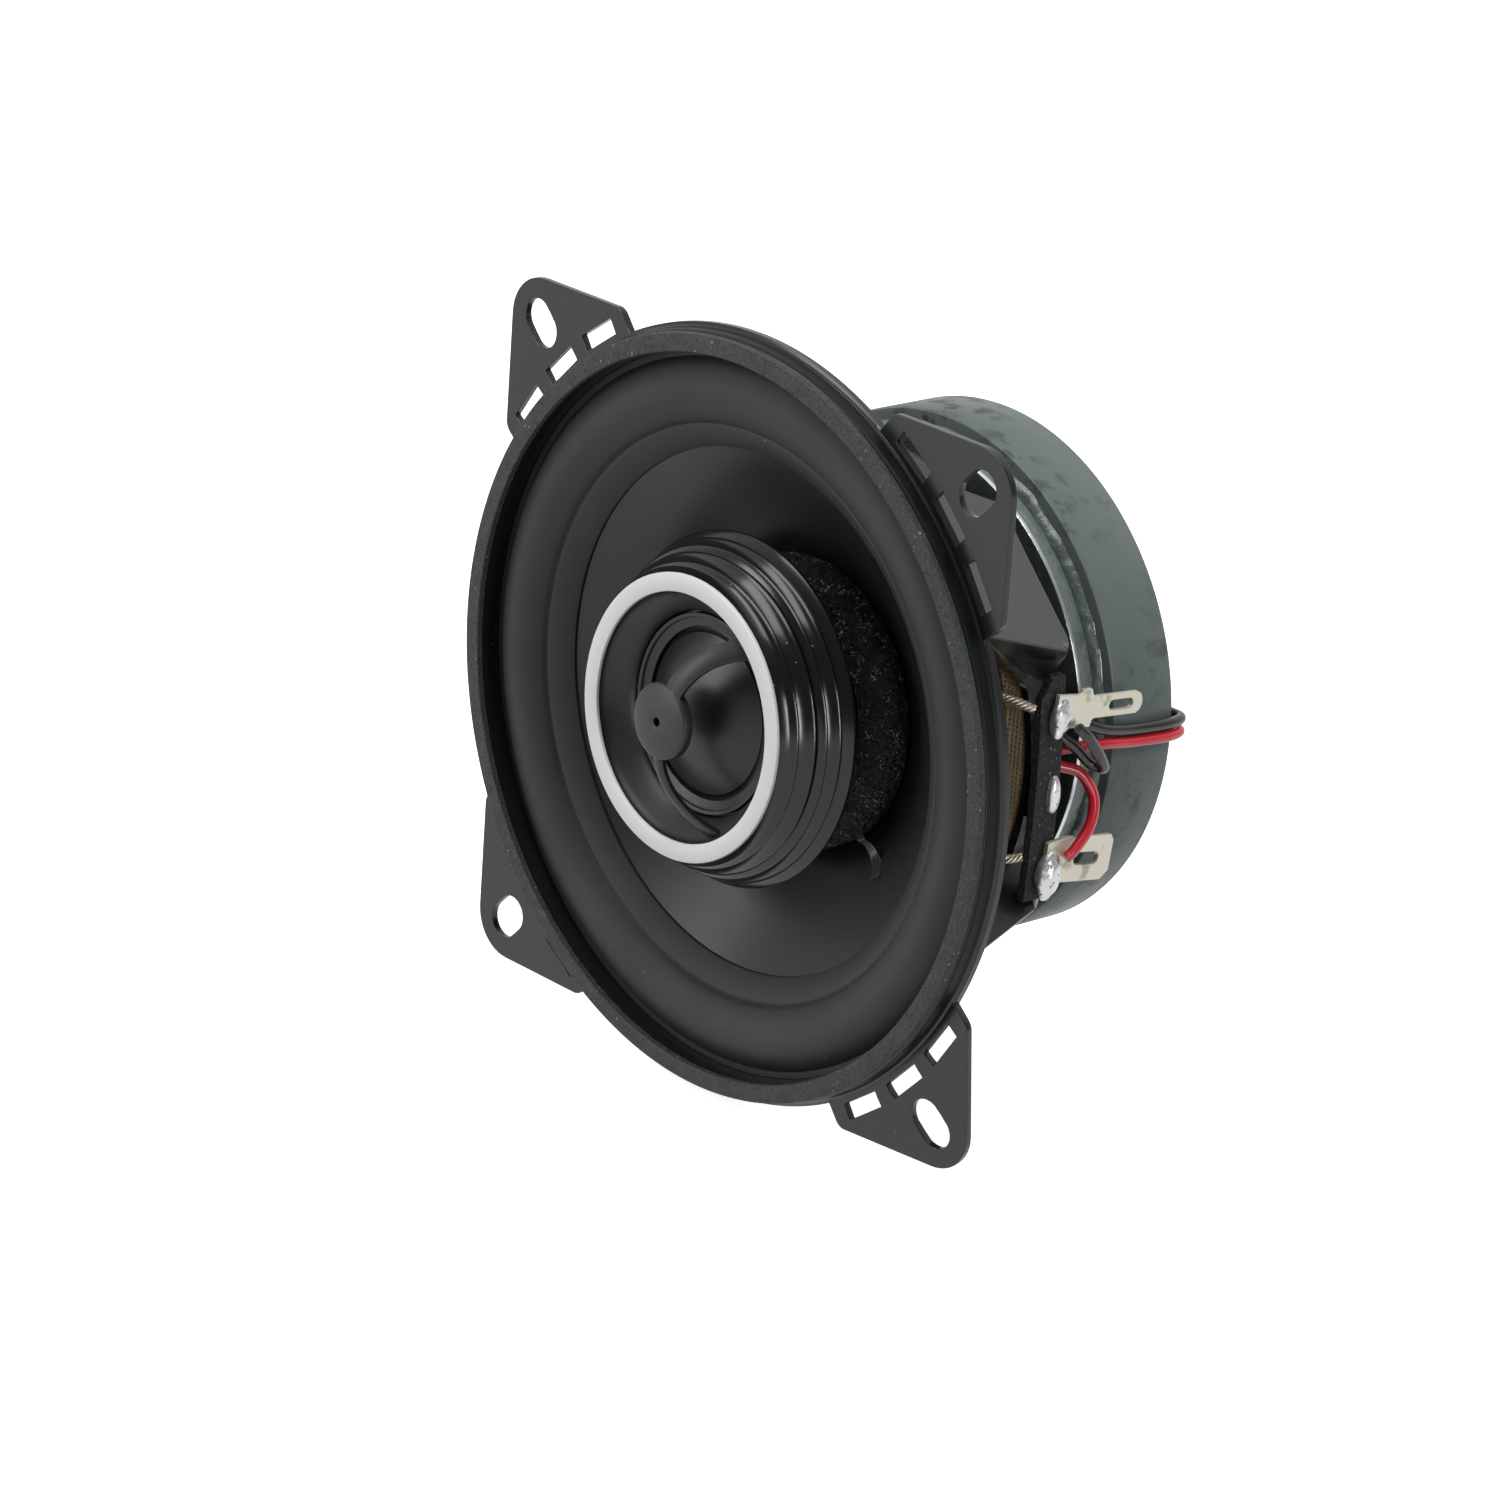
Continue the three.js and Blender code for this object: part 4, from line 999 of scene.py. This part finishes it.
def makeSoftParts():
    g = gasket
    ring = turnPiece("frontGasket", [
        (g["inner"], g["front"] + 0.1), (g["inner"] + 0.1, g["front"]),
        (g["outer"] - g["round"], g["front"]), (g["outer"] - 0.08, g["front"] + 0.1),
        (g["outer"], g["front"] + g["round"]), (g["outer"], g["rear"]), (g["inner"], g["rear"])], 240)
    dress(ring, "frame_assembly", "gasket_felt", ["front_gasket"])

    line = [(roll["landing"], roll["face"]), (roll["outer"] + 0.3, roll["face"])]
    for i in range(roll["steps"] + 1):
        u = i / roll["steps"]
        r = roll["outer"] + (roll["inner"] - roll["outer"]) * u
        line.append((r, roll["face"] - roll["height"] * math.sin(math.pi * u) ** roll["fullness"]))
    line += roll["shoulder"] + [(r, coneY(r) + lift) for r, lift in roll["overCone"]]
    surround = turnPiece("rollSurround", thickLine(line, roll["thickness"]), 220)
    dress(surround, None, "rubber", ["surround"])
    blendRadially(surround, roll["inner"], roll["outer"], "cone_assembly")

    line = [(r, coneY(r)) for r in cone["radii"]]
    paper = turnPiece("mainCone", thickLine(line, cone["thickness"] - cone["underRoll"]), 200)
    dress(paper, "cone_assembly", "cone", ["cone"])

    line = list(spider["collar"])
    for i in range(spider["steps"] + 1):
        u = i / spider["steps"]
        r = spider["inner"] + (spider["outer"] - spider["inner"]) * u
        wave = math.sin(2 * math.pi * spider["waves"] * u)
        line.append((r, spider["middle"] - spider["height"] * wave))
    line += [*spider["edge"], (spider["rim"], spider["edge"][-1][1])]
    cloth = turnPiece("spiderDisc", thickLine(line, spider["thickness"]), 160)
    dress(cloth, None, "spider_cloth", ["spider"])
    blendRadially(cloth, spider["inner"], spider["outer"], "cone_assembly")


def makeFoam():
    ring = turnPiece("foamRing", foam["outline"], 220)
    remesh = ring.modifiers.new("evenCells", "REMESH")
    remesh.mode = "VOXEL"
    remesh.voxel_size = foam["cell"] * mm
    applyModifiers(ring)
    for v in ring.data.vertices:
        reach = math.hypot(v.co.x, v.co.z)
        out = Vector((v.co.x, 0, v.co.z)) / max(reach, 1e-9)
        lump = sum(noise.noise(v.co * scale) * share for scale, share in foam["lumps"])
        push = foam["rough"] * lump * mm
        depth = coneY(reach / mm) * mm - v.co.y
        if depth > foam["glued"] * mm and reach > foam["bore"] * mm:
            v.co += out * push * 0.8 - Vector((0, push * 0.7, 0))
    dress(ring, "cone_assembly", "foam", ["foam_ring"], angle=180)


def flapLine(u):
    # the middle of the torn scrap, seen from the front
    return [start + run * u + wave * math.sin(waves * u) for start, run, wave, waves in
            zip(flap["start"], flap["run"], flap["wave"], flap["waves"])]


def makeTornFlap():
    # a curled scrap of the foam's backing film hangs from its lower right edge
    deselectAll()
    along, across = flap["grid"]
    bpy.ops.mesh.primitive_grid_add(x_subdivisions=along, y_subdivisions=across, size=1)
    scrap = bpy.context.object
    scrap.name = "foamTornFlap"
    narrow, belly, spread = flap["width"]
    for v in scrap.data.vertices:
        u, w = v.co.x + 0.5, v.co.y
        width = narrow + belly * math.sin(math.pi * min(1, u * 1.05)) ** 2 + spread * u
        x, z = flapLine(u)
        y = flap["depth"] - 1.0 * math.sin(8 * u) + 1.1 * w * math.cos(7 * u)
        v.co = Vector((x + w * width * 0.8, y, z + w * width * 0.6)) * mm
    thick = scrap.modifiers.new("flapThickness", "SOLIDIFY")
    thick.thickness = flap["film"] * mm
    thick.offset = 0
    finer = scrap.modifiers.new("flapRound", "SUBSURF")
    finer.levels = 2
    finer.render_levels = 2
    applyModifiers(scrap)
    dress(scrap, "cone_assembly", "foam", (), tornFilmFinish(), angle=70)


# motor
motor = {
    "topPlate": [(14.1, 30.5), (32.6, 30.5), (33.0, 30.62), (33.2, 31.0), (33.2, 33.5), (33.0, 33.7),
                 (14.1, 33.7)],
    "magnet": [(17.5, 34.0), (35.3, 34.0), (35.75, 34.12), (36.0, 34.5), (36.0, 44.3), (35.88, 44.65),
               (35.5, 44.8), (17.5, 44.8)],
    "backPlate": [(4.2, 30.2), (11.6, 30.2), (12.1, 30.7), (12.1, 45.1), (27.9, 45.1), (28.3, 45.3),
                  (28.4, 45.6),
                  (28.4, 48.1), (28.25, 48.6), (27.8, 48.9), (13.2, 48.9), (12.9, 48.6), (12.5, 48.6),
                  (12.2, 48.9), (5.4, 48.9), (4.6, 48.6), (4.2, 47.9)],
    "glueHeld": 33.5, "glueSwell": 0.012, "glueWaves": 9, "edgeFaces": -0.2, "frontFaces": -0.9,
    "glue": [(33.26, 33.0), (33.7, 33.1), (34.1, 33.4), (34.4, 33.94), (33.26, 33.94)],
}


def makeMotor():
    plate = turnPiece("topPlateDisc", motor["topPlate"], 200)
    dress(plate, "frame_assembly", "zinc", ["top_plate"])
    for material in (shadedZincFinish(), edgeHighlightFinish()):
        plate.data.materials.append(material)
    # the front faces take the shaded copy of the zinc (painted shade), the front chamfer the brighter copy
    # (painted highlight)
    for face in plate.data.polygons:
        if face.normal.y < motor["frontFaces"]:
            face.material_index = 1
        elif face.normal.y < motor["edgeFaces"]:
            face.material_index = 2
    dress(turnPiece("magnetRing", motor["magnet"], 220), "frame_assembly", "ferrite", ["magnet"])
    pole = turnPiece("backPlatePole", motor["backPlate"], 200)
    dress(pole, "frame_assembly", "zinc", ["pole_and_back_plate"])
    bead = turnPiece("glueRing", motor["glue"], 260)
    for v in bead.data.vertices:
        turn = math.atan2(v.co.z, v.co.x)
        if math.hypot(v.co.x, v.co.z) > motor["glueHeld"] * mm:
            way = Vector((math.cos(turn), math.sin(turn), 0))
            swell = 1 + motor["glueSwell"] * noise.noise(way * motor["glueWaves"])
            v.co.x *= swell
            v.co.z *= swell
    dress(bead, "frame_assembly", "glue", ["glue_bead"])


# tweeter, cocked upwards with its post
tweeter = {
    "lean": 2.7, "pivot": 20.8, "front": -9.8,
    "ring": [(16.54, 0.16), (16.6, 0.04), (16.72, 0.0), (18.85, 0.0), (18.99, 0.04), (19.05, 0.16),
             (19.05, 0.42), (16.54, 0.42)],
    "lip": [(19.05, 0.5), (19.2, 0.95), (19.5, 1.6), (19.72, 1.95)],
    "ridges": [(20.25, 2.75), (21.25, 4.75), (22.05, 6.05), (22.8, 7.75)],
    "ridge": [(-0.3, -0.62), (-0.1, -0.42), (0, -0.2), (-0.06, -0.02), (-0.216, 0.1), (-0.36, 0.16),
              (-0.34, 0.3)],
    "skirt": [(23.3, 8.7), (23.65, 9.1), (23.6, 9.55), (23.2, 9.8)],
    "inside": [(13.6, 9.8), (13.4, 13.8), (5.5, 13.8), (5.5, 12.6), (12.6, 12.6), (12.6, 5.6), (13.55, 5.6),
               (13.55, 4.5), (13.7, 4.0), (14.1, 3.4), (14.7, 2.75), (15.3, 2.15), (15.9, 1.65), (16.3, 1.2),
               (16.5, 0.8), (16.54, 0.5)],
    "funnelMiddle": (2, 1.4), "funnelReach": 16.9, "rollBlend": (10.9, 12.3), "rollThickness": 0.13,
    "clamp": [(11.5, 4.98), (11.65, 4.88), (12.6, 4.8), (12.72, 4.7), (12.78, 4.35), (12.95, 4.25),
              (13.25, 4.25), (13.3, 4.4), (13.3, 5.3), (11.5, 5.3)],
    "dome": {"radius": 10.7, "edge": 4.9, "height": 2.9, "thickness": 0.33, "steps": 18},
    "suspension": [(10.77, 5.0), (10.95, 5.2), (11.15, 5.38), (11.45, 5.48), (12.0, 5.46), (12.5, 5.4)],
    "button": {"radius": 5.1, "front": -3.4, "thickness": 1.3, "crown": 0.5, "hole": 0.62, "armThickness": 0.9,
               "armHollow": 0.25, "armEdge": 0.07},
    "armRun": (4.3, 16.1), "armDrop": 4.9,
    "arms": [((69, 62, 50), (3.0, 3.0, 3.5)), ((-90, -76, -62), (1.9, 1.8, 2.2))],
}


def cockBack(piece):
    # leans the piece with the tweeter about the point on the axis inside the voice coil
    editMode(piece)
    bpy.ops.transform.rotate(value=math.radians(tweeter["lean"]), orient_axis="X",
                             center_override=(0, tweeter["pivot"] * mm, 0))
    bpy.ops.object.mode_set(mode="OBJECT")
    return piece


def tweeterTurned(name, outline, steps=180):
    return cockBack(turnPiece(name, [(r, tweeter["front"] + t) for r, t in outline], steps))


def threeWay(values, u):
    a, b, c = values
    return a * (1 - u) * (1 - 2 * u) + b * 4 * u * (1 - u) + c * u * (2 * u - 1)


def makeArm(angles, widths):
    deselectAll()
    bpy.ops.mesh.primitive_grid_add(x_subdivisions=22, y_subdivisions=4, size=1)
    arm = bpy.context.object
    start, foot = tweeter["armRun"]
    b = tweeter["button"]
    for v in arm.data.vertices:
        u, w = v.co.x + 0.5, v.co.y
        turn = math.radians(threeWay(angles, u))
        r = start + (foot - start) * u
        side = w * threeWay(widths, u)
        y = tweeter["front"] + b["front"] + tweeter["armDrop"] * u * u + b["armHollow"] * (2 * w) ** 2
        v.co = Vector((r * math.cos(turn) - side * math.sin(turn), y,
                       r * math.sin(turn) + side * math.cos(turn))) * mm
    thick = arm.modifiers.new("armThickness", "SOLIDIFY")
    thick.thickness = b["armThickness"] * mm
    thick.offset = -1
    applyModifiers(arm)
    soften(arm, b["armEdge"], 2, 50)
    return arm


def makeTweeter():
    trim = tweeterTurned("trimRing", tweeter["ring"])
    dress(trim, "frame_assembly", "white_ring", ["tweeter_trim_ring"])
    outline = list(tweeter["lip"])
    for r, t in tweeter["ridges"]:
        outline += [(r + dr, t + dt) for dr, dt in tweeter["ridge"]]
    outline += tweeter["skirt"] + tweeter["inside"]
    housing = tweeterTurned("tweeterHousing", outline, 220)
    dress(housing, "frame_assembly", "gloss_black", ["tweeter_housing"])
    # the funnel inside is satin, the ridged outside is polished
    housing.data.materials.append(finishes["satin_black"])
    depth, height = tweeter["funnelMiddle"]
    middle = Vector((0, tweeter["front"] + depth, height)) * mm
    for face in housing.data.polygons:
        outwards = face.center - middle
        outwards.y = 0
        if outwards.length < tweeter["funnelReach"] * mm and face.normal.dot(outwards) < 0:
            face.material_index = 1
    clamp = tweeterTurned("clampRing", tweeter["clamp"], 160)
    dress(clamp, "frame_assembly", "satin_black", ["tweeter_clamp_ring"])
    d = tweeter["dome"]
    shares = [i / d["steps"] for i in range(d["steps"] + 1)]
    front = [(d["radius"] * share, d["edge"] - d["height"] * (1 - share ** 2)) for share in shares]
    dome = tweeterTurned("domeDiaphragm", thickLine(front, d["thickness"]), 160)
    dress(dome, "tweeter_diaphragm", "satin_black", ["tweeter_dome"], domeFilm)
    halfRoll = tweeterTurned("domeSuspension", thickLine(tweeter["suspension"], tweeter["rollThickness"]), 160)
    dress(halfRoll, None, "satin_black", ["tweeter_suspension"], domeFilm)
    blendRadially(halfRoll, *tweeter["rollBlend"], "tweeter_diaphragm")
    b = tweeter["button"]
    y = tweeter["front"] + b["front"]
    bridge = turnPiece("phaseBridge", [
        (b["hole"], y - b["crown"] + 0.05), (b["hole"] + 0.12, y - b["crown"]), (2.2, y - 0.42),
        (3.6, y - 0.26), (4.7, y - 0.08), (5.0, y + 0.04), (b["radius"], y + 0.22),
        (b["radius"], y + b["thickness"]),
        (b["hole"], y + b["thickness"])], 120)
    for angles, widths in tweeter["arms"]:
        combine(bridge, makeArm(angles, widths), "UNION")
    dress(cockBack(bridge), "frame_assembly", "satin_black", ["tweeter_bridge"], angle=50, even=True)


# terminals and leads
board = {"x": (37.2, 38.5), "y": (17.9, 22.1), "z": (-17.2, 13.4), "bow": 0.55,
         "steps": 24, "snipped": 2.9, "snipFacing": (0, -0.82, 0.57), "edge": 0.12, "fray": 0.12}
rivet = {"place": (38.5, 21.0, -2.6), "head": (1.0, 1.05, 2.65), "shank": (0.9, 5.9), "shankAt": 35.9,
         "shankEdge": 0.2}
tabs = {
    "thickness": 0.8, "face": 38.56, "rear": 22.1,
    "narrow": {"outline": [(-2.4, -2.2), (2.0, -2.6), (3.9, -2.6), (4.1, -1.75), (4.4, -1.5), (12.1, -1.5),
                           (12.75, -1.1), (13.1, -0.4), (13.1, 0.4), (12.75, 1.1), (12.1, 1.5), (4.2, 1.5),
                           (3.8, 1.8), (3.5, 2.6), (2.2, 2.6), (1.6, 1.9), (-2.4, 2.2)],
               "hole": (7.0, 11.4, 1.4), "z": 8.9, "slope": -5},
    "wide": {"outline": [(-2.2, -2.4), (1.6, -3.1), (8.6, -3.1), (9.9, -1.9), (9.9, 2.3), (9.3, 3.1),
                         (1.2, 3.1), (-2.2, 2.4)], "hole": (3.0, 7.6, 1.7), "z": -11.7, "slope": -8},
    "edge": 0.13,
}
lead = {
    "radius": 0.75,
    "black": [(40.2, 22.9, 6.6), (40.6, 24.4, 5.2), (40.4, 27.4, 1.6), (39.6, 28.7, -0.2), (38.3, 27.9, 0.1),
              (37.2, 25.6, 2.6), (36.0, 23.8, 4.4), (35.8, 24.6, 5.6), (36.6, 27.4, 5.2), (37.1, 31.2, 3.9),
              (37.1, 36, 3.1)],
    "red": [(40.3, 22.6, -11.2), (40.5, 23.8, -10.2), (40.3, 26.6, -7.2), (39.3, 27.7, -3.9),
            (37.6, 26.4, -0.9), (36.0, 24.0, 0.0), (35.2, 23.0, 0.8), (35.2, 24.0, 1.6),
            (36.3, 27.6, 2.0), (37.1, 31.6, 1.9),
            (37.1, 36, 1.3)],
}
tinsel = {"strands": 6, "pitch": 3.4, "reach": 0.39, "radius": 0.27,
          "upper": (9.4, 0.9), "lower": (-10.8, -0.5)}
solder = {
    "upper": (20.6, 8.1, (1.5, 1.8, 2.5)), "lower": (20.7, -13.4, (1.8, 2.1, 3.3)),
    "lumps": ((0, 0, 1.0), (0.5, 1.2, 0.72), (-0.4, -1.5, 0.66), (0.9, -0.3, 0.6)),
    "lumpScale": 0.9, "middle": 39.1, "cell": 0.16, "ripple": (560, 0.34),
}


def cutAtBoard(piece):
    # keeps what stands out from the face that the tabs lie on
    editMode(piece)
    bpy.ops.mesh.bisect(plane_co=(tabs["face"] * mm, 0, 0), plane_no=(1, 0, 0), use_fill=True,
                        clear_inner=True)
    bpy.ops.object.mode_set(mode="OBJECT")


def makeTab(name, facts, node):
    tab = outlinePlate(name, facts["outline"], tabs["thickness"])
    h0, h1, width = facts["hole"]
    combine(tab, slotCutter(width, h1 - h0, ((h0 + h1) / 2, 0, 0), (0, 0, 0)), "DIFFERENCE")
    soften(tab, tabs["edge"], 2, 25)
    slope = math.radians(facts["slope"])
    # the blade's length runs back along Y, its width along Z and its thickness out along X
    run = Vector((0, math.cos(slope), math.sin(slope)))
    stand = Vector((0, -math.sin(slope), math.cos(slope)))
    tab.matrix_world = Matrix.Translation(Vector((tabs["face"], tabs["rear"], facts["z"])) * mm) @ Matrix(
        (run, stand, Vector((1, 0, 0)))).transposed().to_4x4()
    setOrigin(tab)
    dress(tab, "frame_assembly", "tinned_brass", [node], angle=60, even=True)


def makeBoard():
    sides = (board["x"], board["y"], board["z"])
    strip = addBlock([high - low for low, high in sides], [(low + high) / 2 for low, high in sides])
    strip.name = "terminalStrip"
    y0, (z0, z1), steps = board["y"][0], board["z"], board["steps"]
    editMode(strip)
    bpy.ops.mesh.bisect(plane_co=(0, y0 * mm, (z1 - board["snipped"]) * mm), plane_no=board["snipFacing"],
                        use_fill=True, clear_outer=True)
    for i in range(1, steps):
        bpy.ops.mesh.select_all(action="SELECT")
        bpy.ops.mesh.bisect(plane_co=(0, 0, (z0 + (z1 - z0) * i / steps) * mm), plane_no=(0, 0, 1))
    bpy.ops.object.mode_set(mode="OBJECT")
    soften(strip, board["edge"], 2, 40)
    half = (z1 - z0) / 2
    for v in strip.data.vertices:
        t = (v.co.z / mm - (z0 + z1) / 2) / half
        v.co.x -= board["bow"] * t * t * mm
        v.co.y += board["fray"] * noise.noise(Vector((3, 0, v.co.z / mm * 0.4))) * mm
    dress(strip, "frame_assembly", "fibre", ["terminal_board"], angle=60, even=True)


def makeRivet():
    x, y, z = (at * mm for at in rivet["place"])
    deselectAll()
    bpy.ops.mesh.primitive_uv_sphere_add(segments=48, ring_count=24, radius=1 * mm)
    head = bpy.context.object
    head.name = "boardRivet"
    head.scale = rivet["head"]
    head.location = (x, y, z)
    setOrigin(head)
    cutAtBoard(head)
    deselectAll()
    radius, length = rivet["shank"]
    bpy.ops.mesh.primitive_cylinder_add(vertices=32, radius=radius * mm, depth=length * mm,
                                        rotation=(0, math.pi / 2, 0), location=(rivet["shankAt"] * mm, y, z))
    shank = bpy.context.object
    setOrigin(shank)
    soften(shank, rivet["shankEdge"], 3)
    combine(head, shank, "UNION")
    dress(head, "frame_assembly", "tin", ["terminal_rivet"])


def makeSolder(name, y, z, size, node):
    deselectAll()
    lumps = []
    for dy, dz, grow in solder["lumps"]:
        bpy.ops.mesh.primitive_uv_sphere_add(segments=32, ring_count=20, radius=1 * mm)
        lump = bpy.context.object
        lump.scale = [s * grow * solder["lumpScale"] for s in size]
        lump.location = (solder["middle"] * mm, (y + dy) * mm, (z + dz) * mm)
        lumps.append(lump)
    blob = lumps[0]
    blob.name = name
    for lump in lumps:
        lump.select_set(True)
    bpy.context.view_layer.objects.active = blob
    bpy.ops.object.join()
    setOrigin(blob)
    remesh = blob.modifiers.new("meltTogether", "REMESH")
    remesh.mode = "VOXEL"
    remesh.voxel_size = solder["cell"] * mm
    smooth = blob.modifiers.new("settle", "SMOOTH")
    smooth.iterations = 6
    applyModifiers(blob)
    often, depth = solder["ripple"]
    for v in blob.data.vertices:
        v.co += v.normal * noise.noise(v.co * often) * depth * mm
    cutAtBoard(blob)
    dress(blob, "frame_assembly", "tin", [node], angle=60)


def towardTweeter(z, vent):
    # round the magnet, over the back plate and forward through the vent to the tilted tweeter
    lean = math.tan(math.radians(tweeter["lean"]))
    return [(37.2, 43.8, z), (36.3, 45.8, z), (33.4, 46.0, z), (30.0, 47.3, z), (28.5, 49.8, z - 0.1),
            (24, 50.3, z - 0.4), (12, 50.4, z - 1.1), (4.0, 50.5, vent), (0.5, 49.4, vent), (0, 45.9, vent),
            (0, 38, vent), (0, 20.8, vent), (0, 3.2, vent + 17.6 * lean)]


def makeLeads():
    for color, z, vent in (("black", 2.7, 1.0), ("red", 0.9, -1.0)):
        route = smoothRoute(lead[color] + towardTweeter(z, vent), 8)
        wire = tubeAlong(color + "Lead", [route], lead["radius"], 5)
        dress(wire, "frame_assembly", color + "_pvc", ["lead_" + color], angle=60)


def makeTinsel(which):
    z, bow = tinsel[which]
    end = 21.5
    core = smoothRoute([(37.6, 17.2, z), (36.0, 15.3, z + bow), (32.0, 13.6, z + bow * 1.4),
                        (27.0, 12.4, z * 0.9 + bow),
                        (end, coneY(end) + cone["thickness"] + 1.5, z * 0.75)], 14)
    strands, run = [[] for _ in range(tinsel["strands"])], 0.0
    for i, p in enumerate(core):
        ahead, behind = core[min(i + 1, len(core) - 1)], core[max(i - 1, 0)]
        run += (p - core[max(i - 1, 0)]).length
        along = (ahead - behind).normalized()
        across = along.cross(Vector((0, 0, 1))).normalized()
        over = across.cross(along)
        for k, strand in enumerate(strands):
            turn = 2 * math.pi * (run / tinsel["pitch"] + k / (tinsel["strands"] - 1))
            reach = 0 if k == 0 else tinsel["reach"]
            strand.append(p + (across * math.cos(turn) + over * math.sin(turn)) * reach)
    rope = tubeAlong("tinsel" + which.capitalize(), strands, tinsel["radius"], 2)
    dress(rope, None, "tinsel", ["tinsel_" + which], angle=60)
    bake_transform(rope, "frame_assembly", "cone_assembly", start=(37.4 * mm, 17 * mm, z * mm),
             end=(22.2 * mm, 13 * mm, z * 0.75 * mm))


def dressHiddenNodes():
    # inner pieces keep their CAD shape and get their own finish
    hidden = {
        "voice_coil_former": "paper", "voice_coil": "copper", "tweeter_voice_coil": "copper",
        "tweeter_pole_plate": "zinc", "tweeter_magnet": "nickel", "tweeter_yoke": "zinc",
        "tweeter_post": "satin_black",
    }
    for name, finishName in hidden.items():
        node = frame["nodes"][name]
        node.data.materials.clear()
        node.data.materials.append(finishes[finishName])


setCamera()
setStudio()
makeBasket()
makeSoftParts()
makeFoam()
makeTornFlap()
makeMotor()
makeTweeter()
makeTab("narrowTab", tabs["narrow"], "tab_narrow")
makeTab("wideTab", tabs["wide"], "tab_wide")
makeBoard()
makeRivet()
for side in ("upper", "lower"):
    y, z, size = solder[side]
    makeSolder("solder" + side.capitalize(), y, z, size, "solder_" + side)
    makeTinsel(side)
makeLeads()
dressHiddenNodes()
deselectAll()
